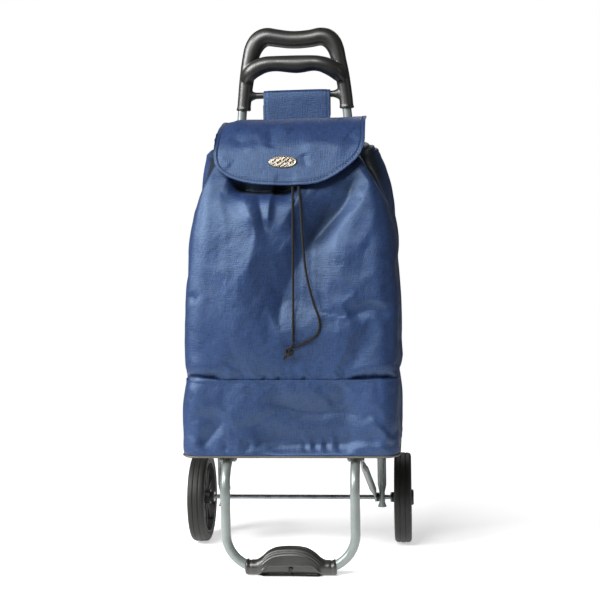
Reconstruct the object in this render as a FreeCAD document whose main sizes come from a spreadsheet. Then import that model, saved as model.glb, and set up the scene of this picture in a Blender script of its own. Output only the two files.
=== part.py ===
"""A two-wheeled shopping trolley: a fabric bag on a bent-tube frame.

Row frame: X to the right, Y to the back, Z up, millimetres. The origin is on
the floor at the middle of the footprint. Every size comes from the
"Dimensions" sheet, and each sub-part is one object whose label names its file.
"""
import FreeCAD, Part
import math
import os

import Sketcher
from FreeCAD import Placement, Rotation, Vector

os.makedirs("parts", exist_ok=True)
doc = FreeCAD.newDocument("ShoppingTrolley")

# ---------------------------------------------------------------- dimensions
DIMENSIONS = [
    # wheels and axle
    ("wheel_diameter", 160), ("wheel_width", 30), ("wheel_offset", 182.6),
    ("rim_diameter", 129), ("rim_inset", 1), ("barrel_wall", 3), ("hub_diameter", 26),
    ("hub_nose", 18), ("hub_nose_length", 6), ("spoke_count", 10),
    ("spoke_thickness", 3), ("spoke_depth", 16), ("groove_depth", 1.8),
    ("groove_width", 2.4), ("groove_offset", 5.2), ("axle_diameter", 8),
    ("axle_clearance", 0.06), ("axle_length", 398), ("axle_back", 75),
    ("cap_diameter", 28), ("cap_height", 3.8), ("washer_diameter", 18),
    ("washer_thickness", 1.2),
    # tubes of the frame
    ("tube_diameter", 16), ("tube_wall", 1.2), ("rear_half_width", 145),
    ("rear_foot_height", 63), ("rear_bend_height", 232), ("rear_bend_radius", 150),
    ("rear_top_height", 834), ("rear_top_half_width", 87), ("pinch_width", 10.4),
    ("pinch_depth", 19), ("pinch_reach", 17), ("pinch_flat", 9.5),
    ("loop_half_width", 107), ("loop_front", -135), ("loop_height", 184),
    ("loop_top_radius", 50), ("loop_bottom_radius", 56), ("loop_floor_height", 12.2),
    ("splay_start", -58), ("tongue_thickness", 3), ("tongue_width", 16.6),
    ("tongue_length", 30), ("brace_diameter", 12), ("brace_front", -90),
    ("bolt_diameter", 5), ("bolt_head_diameter", 9.5), ("bolt_head_height", 3),
    ("crossbar_width", 22), ("crossbar_thickness", 3), ("crossbar_low", 300),
    ("crossbar_high", 640), ("rivet_diameter", 4.8),
    # handle
    ("handle_leg_diameter", 25), ("handle_foot_height", 776.5), ("grip_height", 31),
    ("grip_depth", 28), ("lower_grip_diameter", 29), ("lower_grip_forward", 22),
    ("rod_height", 801.5), ("rod_diameter", 11.6), ("socket_clearance", 0.15),
    # front foot
    ("foot_width", 146), ("foot_depth", 40), ("foot_sleeve_height", 24),
    ("foot_arch_height", 50.5), ("foot_arch_width", 104), ("foot_underside", 0),
    ("foot_middle", 0), ("window_low", 1.5), ("window_high", 18), ("window_depth", 8.5),
    # bag
    ("bag_back", 66.4), ("fabric", 2.5), ("board_bottom", 192.6), ("board_thickness", 4.2),
    ("board_width", 358), ("board_depth", 190), ("board_corner", 24),
    ("band_top", 322), ("band_width", 361), ("band_depth", 194), ("mouth_bottom", 715),
    ("mouth_height", 20), ("mouth_wall", 9), ("mouth_width", 236), ("mouth_depth", 112),
    ("root_fabric", 1.8), ("root_width", 246), ("root_top", 748.5),
    ("mouth_corner", 34), ("sleeve_width", 118), ("sleeve_fabric", 1.8),
    ("sleeve_bottom", 728), ("strap_height", 25), ("strap_level", 430),
    # flap and badge
    ("flap_width", 250), ("flap_thickness", 2), ("hinge_back", 63), ("hinge_height", 751),
    ("flap_bottom", 640), ("flap_round_start", 705), ("badge_width", 48),
    ("badge_height", 21), ("badge_thickness", 2.4), ("badge_level", 678),
    # drawstring
    ("cord_diameter", 4), ("eyelet_diameter", 12), ("eyelet_thickness", 1.6),
]

sheet = doc.addObject("Spreadsheet::Sheet", "Dimensions")
for row, (alias, value) in enumerate(DIMENSIONS, start=1):
    sheet.set(f"A{row}", alias)
    sheet.set(f"B{row}", str(value))
    sheet.setAlias(f"B{row}", alias)
doc.recompute()


def dim(alias):
    """The value of one driving dimension, read back from the sheet."""
    return float(sheet.get(alias))


AXLE_Y = dim("axle_back")
AXLE_Z = dim("wheel_diameter") / 2
TUBE_R = dim("tube_diameter") / 2
SIDES = (("left", -1), ("right", 1))
X_AXIS, Y_AXIS, Z_AXIS = Vector(1, 0, 0), Vector(0, 1, 0), Vector(0, 0, 1)
nodes = []


# ------------------------------------------------------------------- helpers
def bind(obj, **expressions):
    """Tie properties of an object to the sheet; names in a formula are aliases."""
    for name, formula in expressions.items():
        words = []
        for word in formula.split():
            words.append(f"Dimensions.{word}" if word[0].isalpha() else word)
        obj.setExpression(name, " ".join(words))


def node(obj, label):
    """Mark an object as a sub-part of the trolley."""
    obj.Label = label
    nodes.append(obj)
    return obj


def feature(name, shape):
    obj = doc.addObject("Part::Feature", name)
    obj.Shape = shape
    return obj


def turned(direction):
    """Rotation that carries +Z onto a direction."""
    return Rotation(Z_AXIS, direction)


def cylinder(name, radius, height, base, direction):
    obj = doc.addObject("Part::Cylinder", name)
    bind(obj, Radius=radius, Height=height)
    obj.Placement = Placement(base, turned(direction))
    return obj


def plain_cylinder(name, radius, height, base, direction):
    obj = doc.addObject("Part::Cylinder", name)
    obj.Radius = radius
    obj.Height = height
    obj.Placement = Placement(base, turned(direction))
    return obj


def fuse(name, parts):
    obj = doc.addObject("Part::MultiFuse", name)
    obj.Shapes = parts
    return obj


def cut(name, base, tools):
    """Take one or several tools away from a base."""
    tool = tools[0] if len(tools) == 1 else fuse(f"{name}_tools", tools)
    obj = doc.addObject("Part::Cut", name)
    obj.Base = base
    obj.Tool = tool
    return obj


def common(name, base, tool):
    obj = doc.addObject("Part::Common", name)
    obj.Base = base
    obj.Tool = tool
    return obj


def group(label, parts):
    """Identical fasteners share one node as separate solids."""
    obj = doc.addObject("Part::Compound", label)
    obj.Links = parts
    return node(obj, label)


def rounded_path(points, radii):
    """A wire of straight runs joined by tangent arcs of the given radii."""
    edges = []
    last = points[0]
    for before, corner, after, radius in zip(points, points[1:], points[2:], radii):
        to_before = (before - corner).normalize()
        to_after = (after - corner).normalize()
        half = to_before.getAngle(to_after) / 2
        reach = radius / math.tan(half)
        start = corner + to_before * reach
        end = corner + to_after * reach
        bisector = (to_before + to_after).normalize()
        middle = corner + bisector * (radius / math.sin(half) - radius)
        edges.append(Part.LineSegment(last, start).toShape())
        edges.append(Part.Arc(start, middle, end).toShape())
        last = end
    edges.append(Part.LineSegment(last, points[-1]).toShape())
    return Part.Wire(edges)


def sweep(name, spine, profile):
    """A Part sweep of one profile object along a wire."""
    guide = feature(f"{name}_spine", spine)
    obj = doc.addObject("Part::Sweep", name)
    obj.Sections = [profile]
    obj.Spine = (guide, [f"Edge{i + 1}" for i in range(len(spine.Edges))])
    obj.Solid = True
    return obj


def round_bar(name, spine, radius):
    """A round bar along a wire; radius is a formula over the sheet."""
    profile = doc.addObject("Part::Circle", f"{name}_profile")
    bind(profile, Radius=radius)
    first = spine.Edges[0]
    direction = first.tangentAt(first.FirstParameter)
    profile.Placement = Placement(first.valueAt(first.FirstParameter), turned(direction))
    return sweep(name, spine, profile)


def rounded_rectangle(width, front, back, corner, height):
    """Closed wire of a rounded rectangle that lies level."""
    x = width / 2
    corners = [Vector(-x, front, height), Vector(x, front, height),
               Vector(x, back, height), Vector(-x, back, height)]
    start = (corners[0] + corners[1]) * 0.5
    path = rounded_path([start] + corners[1:] + corners[:1] + [start], [corner] * 4)
    return path


def flat_oval(centre, along, width_axis, width, thickness):
    """Closed oval across a flattened tube, with its normal along the tube."""
    side = width_axis * ((width - thickness) / 2)
    face = along.cross(width_axis).normalize() * (thickness / 2)
    tip = width_axis * (width / 2)
    a, b = centre - side + face, centre + side + face
    c, d = centre + side - face, centre - side - face
    return Part.Wire([
        Part.LineSegment(a, b).toShape(), Part.Arc(b, centre + tip, c).toShape(),
        Part.LineSegment(c, d).toShape(), Part.Arc(d, centre - tip, a).toShape()])


def round_section(centre, along, width_axis, radius):
    """A circle cut in four where the flat oval has its four edges."""
    face = along.cross(width_axis).normalize()
    slope = math.atan2(1, 1)
    corner = []
    for u, v in ((-1, 1), (1, 1), (1, -1), (-1, -1)):
        corner.append(centre + width_axis * (u * radius * math.cos(slope))
                      + face * (v * radius * math.sin(slope)))
    middle = [centre + face * radius, centre + width_axis * radius,
              centre - face * radius, centre - width_axis * radius]
    edges = [Part.Arc(corner[i], middle[i], corner[(i + 1) % 4]).toShape() for i in range(4)]
    return Part.Wire(edges)


def tongue(hole, back, outward, radius, neck, run):
    """A tube end pressed flat: a drilled tongue and the neck that leads to it.

    hole is the bolt hole's centre, back the direction into the tube, outward
    the bolt's axis, neck the point where the round tube begins and run the
    tube's direction there.
    """
    width_axis = outward.cross(back).normalize()
    width = dim("tongue_width")
    thickness = dim("tongue_thickness")
    straight = hole + back * (dim("tongue_length") - width / 2)
    tip = hole - outward * (thickness / 2)
    side = width_axis * (width / 2)
    reach = back * (dim("tongue_length") - width / 2)
    outline = Part.Wire([
        Part.LineSegment(tip + side, tip + side + reach).toShape(),
        Part.LineSegment(tip + side + reach, tip - side + reach).toShape(),
        Part.LineSegment(tip - side + reach, tip - side).toShape(),
        Part.Arc(tip - side, tip - back * (width / 2), tip + side).toShape()])
    plate = Part.Face(outline).extrude(outward * thickness)
    overlap, shrink = 1.5, 0.2
    flat = flat_oval(straight - back * overlap, back, width_axis,
                     width - 2 * shrink, thickness - shrink)
    upright = (width_axis - run * run.dot(width_axis)).normalize()
    round_end = round_section(neck + run * overlap, run, upright, radius - shrink)
    throat = Part.makeLoft([flat, round_end], True, False)
    hole_r = dim("bolt_diameter") / 2 + 0.1
    drill = Part.makeCylinder(hole_r, 4 * thickness, hole - outward * (2 * thickness), outward)
    return plate.fuse(throat).cut(drill)


def profile_sketch(body, name, role, points):
    """A closed outline whose corners are held by formulas over the sheet."""
    plane = [f for f in body.Origin.OriginFeatures if f.Role == role][0]
    sketch = body.newObject("Sketcher::SketchObject", name)
    sketch.AttachmentSupport = (plane, [""])
    sketch.MapMode = "FlatFace"
    values = [tuple(float(sheet_value(formula)) for formula in point) for point in points]
    count = len(points)
    for i in range(count):
        start, end = Vector(*values[i], 0), Vector(*values[(i + 1) % count], 0)
        sketch.addGeometry(Part.LineSegment(start, end), False)
    for i in range(count):
        sketch.addConstraint(Sketcher.Constraint("Coincident", i, 2, (i + 1) % count, 1))
    for i, point in enumerate(points):
        for kind, formula, value in zip(("DistanceX", "DistanceY"), point, values[i]):
            index = sketch.addConstraint(Sketcher.Constraint(kind, -1, 1, i, 1, value))
            bind(sketch, **{f"Constraints[{index}]": formula})
    return sketch


def sheet_value(formula):
    """The present value of a formula over the sheet."""
    probe = doc.addObject("App::FeaturePython", "probe")
    probe.addProperty("App::PropertyFloat", "Result")
    bind(probe, Result=formula)
    probe.recompute()
    result = probe.Result
    doc.removeObject(probe.Name)
    return result


def revolved_body(name, points, centre):
    """A body turned about X at a given centre from a half outline (axial, radial)."""
    body = doc.addObject("PartDesign::Body", name)
    sketch = profile_sketch(body, f"{name}_outline", "XZ_Plane", points)
    turn = body.newObject("PartDesign::Revolution", f"{name}_turned")
    turn.Profile = sketch
    turn.ReferenceAxis = (sketch, ["H_Axis"])
    turn.Angle = 360
    body.Placement = Placement(centre, Rotation())
    return body


def ring_edges(shape, radius, axial):
    """Names of circular edges about X with a given radius and axial distance."""
    found = []
    for i, edge in enumerate(shape.Edges, start=1):
        curve = edge.Curve
        if curve.TypeId != "Part::GeomCircle":
            continue
        if abs(curve.Radius - radius) < 0.01 and abs(abs(curve.Center.x) - axial) < 0.01:
            found.append(f"Edge{i}")
    return found


# -------------------------------------------------------------------- wheels
def make_tyre(side, sign):
    """Rubber tyre with two grooves and rounded shoulders."""
    half = "wheel_width / 2"
    outer = "wheel_diameter / 2"
    inner = "rim_diameter / 2 + 0.02"
    floor = "wheel_diameter / 2 - groove_depth"
    points = [(f"- {half}", inner), (f"- {half}", outer)]
    for middle in ("- groove_offset", "groove_offset"):
        points += [(f"{middle} - groove_width / 2", outer),
                   (f"{middle} - groove_width / 2", floor),
                   (f"{middle} + groove_width / 2", floor),
                   (f"{middle} + groove_width / 2", outer)]
    points += [(half, outer), (half, inner)]
    centre = Vector(sign * dim("wheel_offset"), AXLE_Y, AXLE_Z)
    body = revolved_body(f"tyre_{side}", points, centre)
    doc.recompute()
    turned_solid = body.Tip
    edges = ring_edges(turned_solid.Shape, dim("wheel_diameter") / 2, dim("wheel_width") / 2)
    shoulder = body.newObject("PartDesign::Fillet", f"tyre_{side}_shoulder")
    shoulder.Base = (turned_solid, edges)
    shoulder.Radius = 4.5
    body.Tip = shoulder
    return node(body, f"tyre_{side}")


def make_rim(side, sign):
    """Moulded rim: barrel with lips, hub with a long inner nose, and spokes."""
    barrel_in = "rim_diameter / 2 - barrel_wall"
    barrel_out = "rim_diameter / 2"
    outer_edge = "wheel_width / 2 - rim_inset"
    inner_edge = "rim_inset - wheel_width / 2"
    inward = -sign
    centre = Vector(sign * dim("wheel_offset"), AXLE_Y, AXLE_Z)
    body = revolved_body(f"rim_{side}_barrel", [
        (inner_edge, barrel_in), (inner_edge, barrel_out),
        (outer_edge, barrel_out), (outer_edge, barrel_in)], centre)
    bore = dim("axle_diameter") / 2 + dim("axle_clearance")
    half_width = dim("wheel_width") / 2
    hub_r = dim("hub_diameter") / 2
    nose_end = centre + Vector(inward * (half_width + dim("hub_nose_length")), 0, 0)
    face = centre - Vector(inward * half_width, 0, 0)
    hub = plain_cylinder(f"rim_{side}_hub", hub_r, 2 * half_width, face, X_AXIS * inward)
    nose = cylinder(f"rim_{side}_nose", "hub_nose / 2", "hub_nose_length + 2",
                    centre + Vector(inward * (half_width - 2), 0, 0), X_AXIS * inward)
    spokes = []
    count = int(dim("spoke_count"))
    barrel_inner = dim("rim_diameter") / 2 - dim("barrel_wall")
    for i in range(count):
        spoke = doc.addObject("Part::Box", f"rim_{side}_spoke")
        bind(spoke, Length="spoke_depth", Width="spoke_thickness")
        spoke.Height = barrel_inner - hub_r + 2
        turn = Rotation(X_AXIS, 360.0 * i / count)
        corner = Vector(-dim("spoke_depth") / 2, -dim("spoke_thickness") / 2, hub_r - 1)
        spoke.Placement = Placement(centre + turn.multVec(corner), turn)
        spokes.append(spoke)
    drill = plain_cylinder(f"rim_{side}_bore", bore, 4 * half_width,
                           nose_end + Vector(inward, 0, 0), X_AXIS * -inward)
    whole = fuse(f"rim_{side}_whole", [body, hub, nose] + spokes)
    return node(cut(f"rim_{side}_drilled", whole, [drill]), f"rim_{side}")


for side, sign in SIDES:
    make_tyre(side, sign)
    make_rim(side, sign)


# ---------------------------------------------------------------------- axle
def make_axle_set():
    """Axle rod, nylon spacers, stop washers and push-on caps."""
    half = dim("axle_length") / 2
    rod = cylinder("axle_rod", "axle_diameter / 2", "axle_length",
                   Vector(-half, AXLE_Y, AXLE_Z), X_AXIS)
    node(rod, "axle")
    clear = dim("axle_diameter") / 2 + 0.05
    hub_face = dim("wheel_offset") - dim("wheel_width") / 2 - dim("hub_nose_length")
    wheel_face = dim("wheel_offset") + dim("wheel_width") / 2
    pinch_face = dim("rear_half_width") - dim("pinch_width") / 2
    spacers, washers, caps = [], [], []
    for side, sign in SIDES:
        outward = X_AXIS * sign
        start = Vector(sign * (pinch_face - 4.3), AXLE_Y, AXLE_Z)
        disc = plain_cylinder(f"spacer_{side}", 8, 4, start, outward)
        drill = plain_cylinder(f"spacer_{side}_bore", clear, 8, start - outward * 2, outward)
        spacers.append(cut(f"spacer_{side}_drilled", disc, [drill]))
        start = Vector(sign * (hub_face - 0.4 - dim("washer_thickness")), AXLE_Y, AXLE_Z)
        disc = cylinder(f"washer_{side}", "washer_diameter / 2", "washer_thickness", start, outward)
        drill = plain_cylinder(f"washer_{side}_bore", clear, 8, start - outward * 2, outward)
        washers.append(cut(f"washer_{side}_drilled", disc, [drill]))
        start = Vector(sign * (wheel_face + 0.3), AXLE_Y, AXLE_Z)
        dome = cylinder(f"cap_{side}", "cap_diameter / 2", "cap_height", start, outward)
        edge = doc.addObject("Part::Fillet", f"cap_{side}_dome")
        doc.recompute()
        edge.Base = dome
        rim = [i for i, e in enumerate(dome.Shape.Edges, start=1)
               if e.Curve.TypeId == "Part::GeomCircle"
               and abs(abs(e.CenterOfMass.x) - wheel_face - 0.3 - dim("cap_height")) < 0.01]
        edge.Edges = [(i, 3.0, 3.0) for i in rim]
        drill = plain_cylinder(f"cap_{side}_bore", clear, half - wheel_face + 0.1,
                               Vector(sign * (wheel_face - 0.05), AXLE_Y, AXLE_Z), outward)
        caps.append(cut(f"cap_{side}_drilled", edge, [drill]))
    group("axle_spacers", spacers)
    group("axle_washers", washers)
    group("axle_caps", caps)


make_axle_set()


# ---------------------------------------------------------------- rear tubes
def rear_tube_x(height):
    """Half distance between the rear tubes' centre lines at a height."""
    bend = dim("rear_bend_height")
    if height <= bend:
        return dim("rear_half_width")
    lean = (dim("rear_half_width") - dim("rear_top_half_width")) / (dim("rear_top_height") - bend)
    return dim("rear_half_width") - lean * (height - bend)


def pinched_end(name, sign, shrink):
    """Lower tube end, pinched where the axle goes through it."""
    x = sign * dim("rear_half_width")
    reach = dim("pinch_reach")
    sections = []
    flat = dim("pinch_flat")
    levels = ((-reach, False), (-flat, True), (flat, True), (reach + 6, False))
    for i, (offset, pinched) in enumerate(levels):
        ring = doc.addObject("Part::Ellipse", f"{name}_ring")
        if pinched:
            bind(ring, MajorRadius="pinch_depth / 2" + shrink, MinorRadius="pinch_width / 2" + shrink)
        else:
            bind(ring, MajorRadius="tube_diameter / 2" + shrink, MinorRadius="tube_diameter / 2" + shrink)
        ring.Placement = Placement(Vector(x, AXLE_Y, AXLE_Z + offset), Rotation(Z_AXIS, 90))
        sections.append(ring)
    loft = doc.addObject("Part::Loft", name)
    loft.Sections = sections
    loft.Solid = True
    loft.Ruled = True
    return loft


def make_rear_tube(side, sign):
    """Rear upright: vertical below, bent inwards at the bag's base."""
    name = f"rear_tube_{side}"
    start = AXLE_Z + dim("pinch_reach") + 6
    points = [Vector(sign * dim("rear_half_width"), AXLE_Y, start),
              Vector(sign * dim("rear_half_width"), AXLE_Y, dim("rear_bend_height")),
              Vector(sign * dim("rear_top_half_width"), AXLE_Y, dim("rear_top_height"))]
    spine = rounded_path(points, [dim("rear_bend_radius")])
    outer = fuse(f"{name}_outer", [pinched_end(f"{name}_pinch", sign, ""),
                                   round_bar(f"{name}_bar", spine, "tube_diameter / 2")])
    inner = fuse(f"{name}_inner", [pinched_end(f"{name}_pinch_hollow", sign, " - tube_wall"),
                                   round_bar(f"{name}_hollow", spine, "tube_diameter / 2 - tube_wall")])
    x = sign * dim("rear_half_width")
    holes = [plain_cylinder(f"{name}_axle_hole", dim("axle_diameter") / 2 + 0.05, 30,
                            Vector(x - 15, AXLE_Y, AXLE_Z), X_AXIS),
             plain_cylinder(f"{name}_bolt_hole", dim("bolt_diameter") / 2 + 0.1, 30,
                            Vector(x - 15, AXLE_Y, dim("loop_height")), X_AXIS)]
    for level in ("crossbar_low", "crossbar_high"):
        bar_x = sign * rear_tube_x(dim(level))
        holes.append(plain_cylinder(f"{name}_rivet_hole", dim("rivet_diameter") / 2 + 0.1, 12,
                                    Vector(bar_x, AXLE_Y + 1, dim(level)), Y_AXIS))
    screw_x = sign * rear_tube_x(dim("handle_foot_height") + 16)
    holes.append(plain_cylinder(f"{name}_screw_hole", 2.1, 12,
                                Vector(screw_x, AXLE_Y + 1, dim("handle_foot_height") + 16), Y_AXIS))
    hollowed = cut(f"{name}_tube", outer, [inner])
    return node(cut(f"{name}_drilled", hollowed, holes), name)


for side, sign in SIDES:
    make_rear_tube(side, sign)


# ----------------------------------------------------- crossbars and rivets
def make_crossbars():
    """Two flat bars riveted to the back of the rear tubes."""
    rivets = []
    back = AXLE_Y + TUBE_R + 0.1
    for label, level in (("crossbar_lower", "crossbar_low"), ("crossbar_upper", "crossbar_high")):
        x = rear_tube_x(dim(level))
        bar = doc.addObject("Part::Box", f"{label}_bar")
        bar.Length = 2 * (x + 11)
        bind(bar, Width="crossbar_thickness", Height="crossbar_width")
        bar.Placement = Placement(Vector(-x - 11, back, dim(level) - dim("crossbar_width") / 2), Rotation())
        drills = []
        for side, sign in SIDES:
            shank_r = dim("rivet_diameter") / 2
            start = Vector(sign * x, AXLE_Y + 3.5, dim(level))
            drills.append(plain_cylinder(f"{label}_{side}_hole", shank_r + 0.1, 20, start, Y_AXIS))
            length = back + dim("crossbar_thickness") - start.y
            shank = plain_cylinder(f"{label}_{side}_shank", shank_r, length, start, Y_AXIS)
            head = plain_cylinder(f"{label}_{side}_head", 4.6, 1.8,
                                  Vector(sign * x, back + dim("crossbar_thickness"), dim(level)), Y_AXIS)
            rivets.append(fuse(f"{label}_{side}_rivet", [shank, head]))
        node(cut(f"{label}_drilled", bar, drills), label)
    group("crossbar_rivets", rivets)


make_crossbars()


# ---------------------------------------------------------------- front loop
def loop_points(sign):
    """Corners of one half of the loop, from the rear tongue to the floor run."""
    x = sign * dim("loop_half_width")
    rear_x = sign * (dim("rear_half_width") - TUBE_R - 0.2 - dim("tongue_thickness") / 2)
    height = dim("loop_height")
    return [Vector(rear_x - sign * 6.2, AXLE_Y - 48, height),
            Vector(x, dim("splay_start"), height),
            Vector(x, dim("loop_front"), height),
            Vector(x, dim("loop_front"), dim("loop_floor_height"))]


def loop_spine():
    left = loop_points(-1)
    right = loop_points(1)
    top, bottom = dim("loop_top_radius"), dim("loop_bottom_radius")
    splay = 60
    points = left + right[::-1]
    return rounded_path(points, [splay, top, bottom, bottom, top, splay])


def make_front_loop():
    """Bent tube under the bag: two flattened ends, two legs, one floor run."""
    spine = loop_spine()
    outer = round_bar("loop_bar", spine, "tube_diameter / 2")
    inner = round_bar("loop_hollow", spine, "tube_diameter / 2 - tube_wall")
    hollowed = cut("loop_tube", outer, [inner])
    ends = []
    for side, sign in SIDES:
        neck, bend = loop_points(sign)[:2]
        hole_x = sign * (dim("rear_half_width") - TUBE_R - 0.2 - dim("tongue_thickness") / 2)
        hole = Vector(hole_x, AXLE_Y, dim("loop_height"))
        shape = tongue(hole, -Y_AXIS, X_AXIS, TUBE_R, neck, (bend - neck).normalize())
        ends.append(feature(f"loop_end_{side}", shape))
    x = dim("loop_half_width")
    drill = plain_cylinder("loop_brace_hole", dim("bolt_diameter") / 2 + 0.1, 2 * x + 40,
                           Vector(-x - 20, dim("brace_front"), dim("loop_height")), X_AXIS)
    screw = plain_cylinder("loop_screw_hole", 2.1, 9.5,
                           Vector(0, dim("loop_front"), dim("loop_floor_height")), -Y_AXIS)
    whole = fuse("loop_whole", [hollowed] + ends)
    return node(cut("loop_drilled", whole, [drill, screw]), "front_loop")


make_front_loop()


# -------------------------------------------------------------------- braces
def make_brace(side, sign):
    """Stay from the axle to the loop's bend, with both ends pressed flat."""
    pinch_face = dim("rear_half_width") - dim("pinch_width") / 2
    low = Vector(sign * (pinch_face - 4.6 - dim("tongue_thickness") / 2), AXLE_Y, AXLE_Z)
    high_x = dim("loop_half_width") + TUBE_R + 0.2 + dim("tongue_thickness") / 2
    high = Vector(sign * high_x, dim("brace_front"), dim("loop_height"))
    run = high - low
    level = Vector(0, run.y, run.z).normalize()
    radius = dim("brace_diameter") / 2
    shift = X_AXIS * (run.x * 0.22)
    low_neck = low + level * 46 + shift
    high_neck = high - level * 46 - shift
    length = (high_neck - low_neck).Length
    axis = (high_neck - low_neck).normalize()
    bar = plain_cylinder(f"brace_{side}_bar", radius, length, low_neck, axis)
    lower = feature(f"brace_{side}_low_end", tongue(low, level, X_AXIS, radius, low_neck, axis))
    upper = feature(f"brace_{side}_high_end", tongue(high, -level, X_AXIS, radius, high_neck, -axis))
    whole = fuse(f"brace_{side}_whole", [bar, lower, upper])
    axle_hole = plain_cylinder(f"brace_{side}_axle_hole", dim("axle_diameter") / 2 + 0.05, 20,
                               low - X_AXIS * 10, X_AXIS)
    return node(cut(f"brace_{side}_drilled", whole, [axle_hole]), f"brace_{side}")


for side, sign in SIDES:
    make_brace(side, sign)


# ------------------------------------------------------------ bolts and nuts
def hexagon(name, across, height, base, direction):
    prism = doc.addObject("Part::Prism", name)
    prism.Polygon = 6
    prism.Circumradius = across / math.sqrt(3)
    prism.Height = height
    prism.Placement = Placement(base, turned(direction))
    return prism


def bolt_and_nut(name, inner_face, outer_face, outward):
    """A bolt with its domed head at the outer face and a nut at the inner one."""
    across_nut, nut_height, gap = 8.0, 4.0, 0.05
    length = (outer_face - inner_face).Length
    head = cylinder(f"{name}_head", "bolt_head_diameter / 2", "bolt_head_height",
                    outer_face + outward * gap, outward)
    shank_start = inner_face - outward * (nut_height + 2)
    shank = plain_cylinder(f"{name}_shank", dim("bolt_diameter") / 2, length + nut_height + 2 + 2 * gap,
                           shank_start, outward)
    bolt = fuse(f"{name}_bolt", [head, shank])
    nut = hexagon(f"{name}_nut_blank", across_nut, nut_height,
                  inner_face - outward * (nut_height + gap), outward)
    bore = plain_cylinder(f"{name}_nut_bore", dim("bolt_diameter") / 2 + 0.05, 20,
                          inner_face - outward * 12, outward)
    return bolt, cut(f"{name}_nut", nut, [bore])


def make_fasteners():
    """Bolts of the loop's rear ends and of the braces' upper ends."""
    loop_bolts, loop_nuts, brace_bolts, brace_nuts = [], [], [], []
    for side, sign in SIDES:
        outward = X_AXIS * sign
        outer = Vector(sign * (dim("rear_half_width") + TUBE_R), AXLE_Y, dim("loop_height"))
        inner_x = dim("rear_half_width") - TUBE_R - 0.2 - dim("tongue_thickness")
        inner = Vector(sign * inner_x, AXLE_Y, dim("loop_height"))
        bolt, nut = bolt_and_nut(f"loop_{side}", inner, outer, outward)
        loop_bolts.append(bolt)
        loop_nuts.append(nut)
        outer_x = dim("loop_half_width") + TUBE_R + 0.2 + dim("tongue_thickness")
        outer = Vector(sign * outer_x, dim("brace_front"), dim("loop_height"))
        inner = Vector(sign * (dim("loop_half_width") - TUBE_R), dim("brace_front"), dim("loop_height"))
        bolt, nut = bolt_and_nut(f"brace_{side}", inner, outer, outward)
        brace_bolts.append(bolt)
        brace_nuts.append(nut)
    group("loop_bolts", loop_bolts)
    group("loop_nuts", loop_nuts)
    group("brace_bolts", brace_bolts)
    group("brace_nuts", brace_nuts)


make_fasteners()


# -------------------------------------------------------------------- handle
def ellipse_section(name, centre, height, depth):
    """Upright ellipse across the grip, which runs along X."""
    ring = doc.addObject("Part::Ellipse", name)
    ring.MajorRadius = height / 2
    ring.MinorRadius = depth / 2
    frame = Rotation(Z_AXIS, Y_AXIS * -1, X_AXIS, "ZXY")
    ring.Placement = Placement(centre, frame)
    return ring


def make_handle():
    """Moulded handle: two hollow legs, a top grip, a forward grip and a rod."""
    foot = dim("handle_foot_height")
    leg_foot = Vector(91, AXLE_Y, foot)
    right = [leg_foot, Vector(84.2, AXLE_Y, 836), Vector(70, AXLE_Y, 901)]
    left = [Vector(-p.x, p.y, p.z) for p in right]
    arch = rounded_path(left + right[::-1], [160, 24, 24, 160])
    frame = round_bar("handle_arch", arch, "handle_leg_diameter / 2")
    grip = doc.addObject("Part::Loft", "handle_grip")
    stations = ((-56, 901.5, 34), (-28, 899, 32), (0, 896.5, 31), (28, 899, 32), (56, 901.5, 34))
    grip.Sections = [ellipse_section("handle_grip_ring", Vector(x, AXLE_Y, z), size, dim("grip_depth"))
                     for x, z, size in stations]
    grip.Solid = True
    forward = AXLE_Y - dim("lower_grip_forward")
    half = [Vector(79, AXLE_Y - 6, 838), Vector(58, forward, 851.5)]
    lower_points = [Vector(-p.x, p.y, p.z) for p in half] + half[::-1]
    lower = round_bar("handle_lower_bar", rounded_path(lower_points, [40, 40]),
                      "lower_grip_diameter / 2")
    rod = cylinder("handle_rod", "rod_diameter / 2", "rear_top_half_width * 2",
                   Vector(-dim("rear_top_half_width"), AXLE_Y, dim("rod_height")), X_AXIS)
    gussets, sockets = [], []
    clearance = dim("socket_clearance")
    for side, sign in SIDES:
        gusset = doc.addObject("Part::Cone", f"handle_gusset_{side}")
        gusset.Radius1 = 12.4
        bind(gusset, Radius2="rod_diameter / 2")
        gusset.Height = 20
        gusset.Placement = Placement(Vector(sign * 87, AXLE_Y, dim("rod_height")), turned(X_AXIS * -sign))
        gussets.append(gusset)
        top = Vector(sign * dim("rear_top_half_width"), AXLE_Y, dim("rear_top_height"))
        low = Vector(sign * rear_tube_x(foot - 20), AXLE_Y, foot - 20)
        length = (top - low).Length + 1
        sockets.append(plain_cylinder(f"handle_socket_{side}", TUBE_R + clearance, length, low, top - low))
        screw_x = sign * rear_tube_x(foot + 16)
        sockets.append(plain_cylinder(f"handle_screw_hole_{side}", 2.1, 24,
                                      Vector(screw_x, AXLE_Y, foot + 16), Y_AXIS))
    whole = fuse("handle_whole", [frame, grip, lower, rod] + gussets)
    node(cut("handle_moulding", whole, sockets), "handle")
    screws = []
    for side, sign in SIDES:
        x = sign * rear_tube_x(foot + 16)
        outer = AXLE_Y + dim("handle_leg_diameter") / 2 + 0.2
        shank = plain_cylinder(f"handle_screw_{side}_shank", 2, outer - AXLE_Y - 3,
                               Vector(x, AXLE_Y + 3, foot + 16), Y_AXIS)
        head = plain_cylinder(f"handle_screw_{side}_head", 3.6, 2.2, Vector(x, outer, foot + 16), Y_AXIS)
        screws.append(fuse(f"handle_screw_{side}", [shank, head]))
    group("handle_screws", screws)


make_handle()


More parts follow.
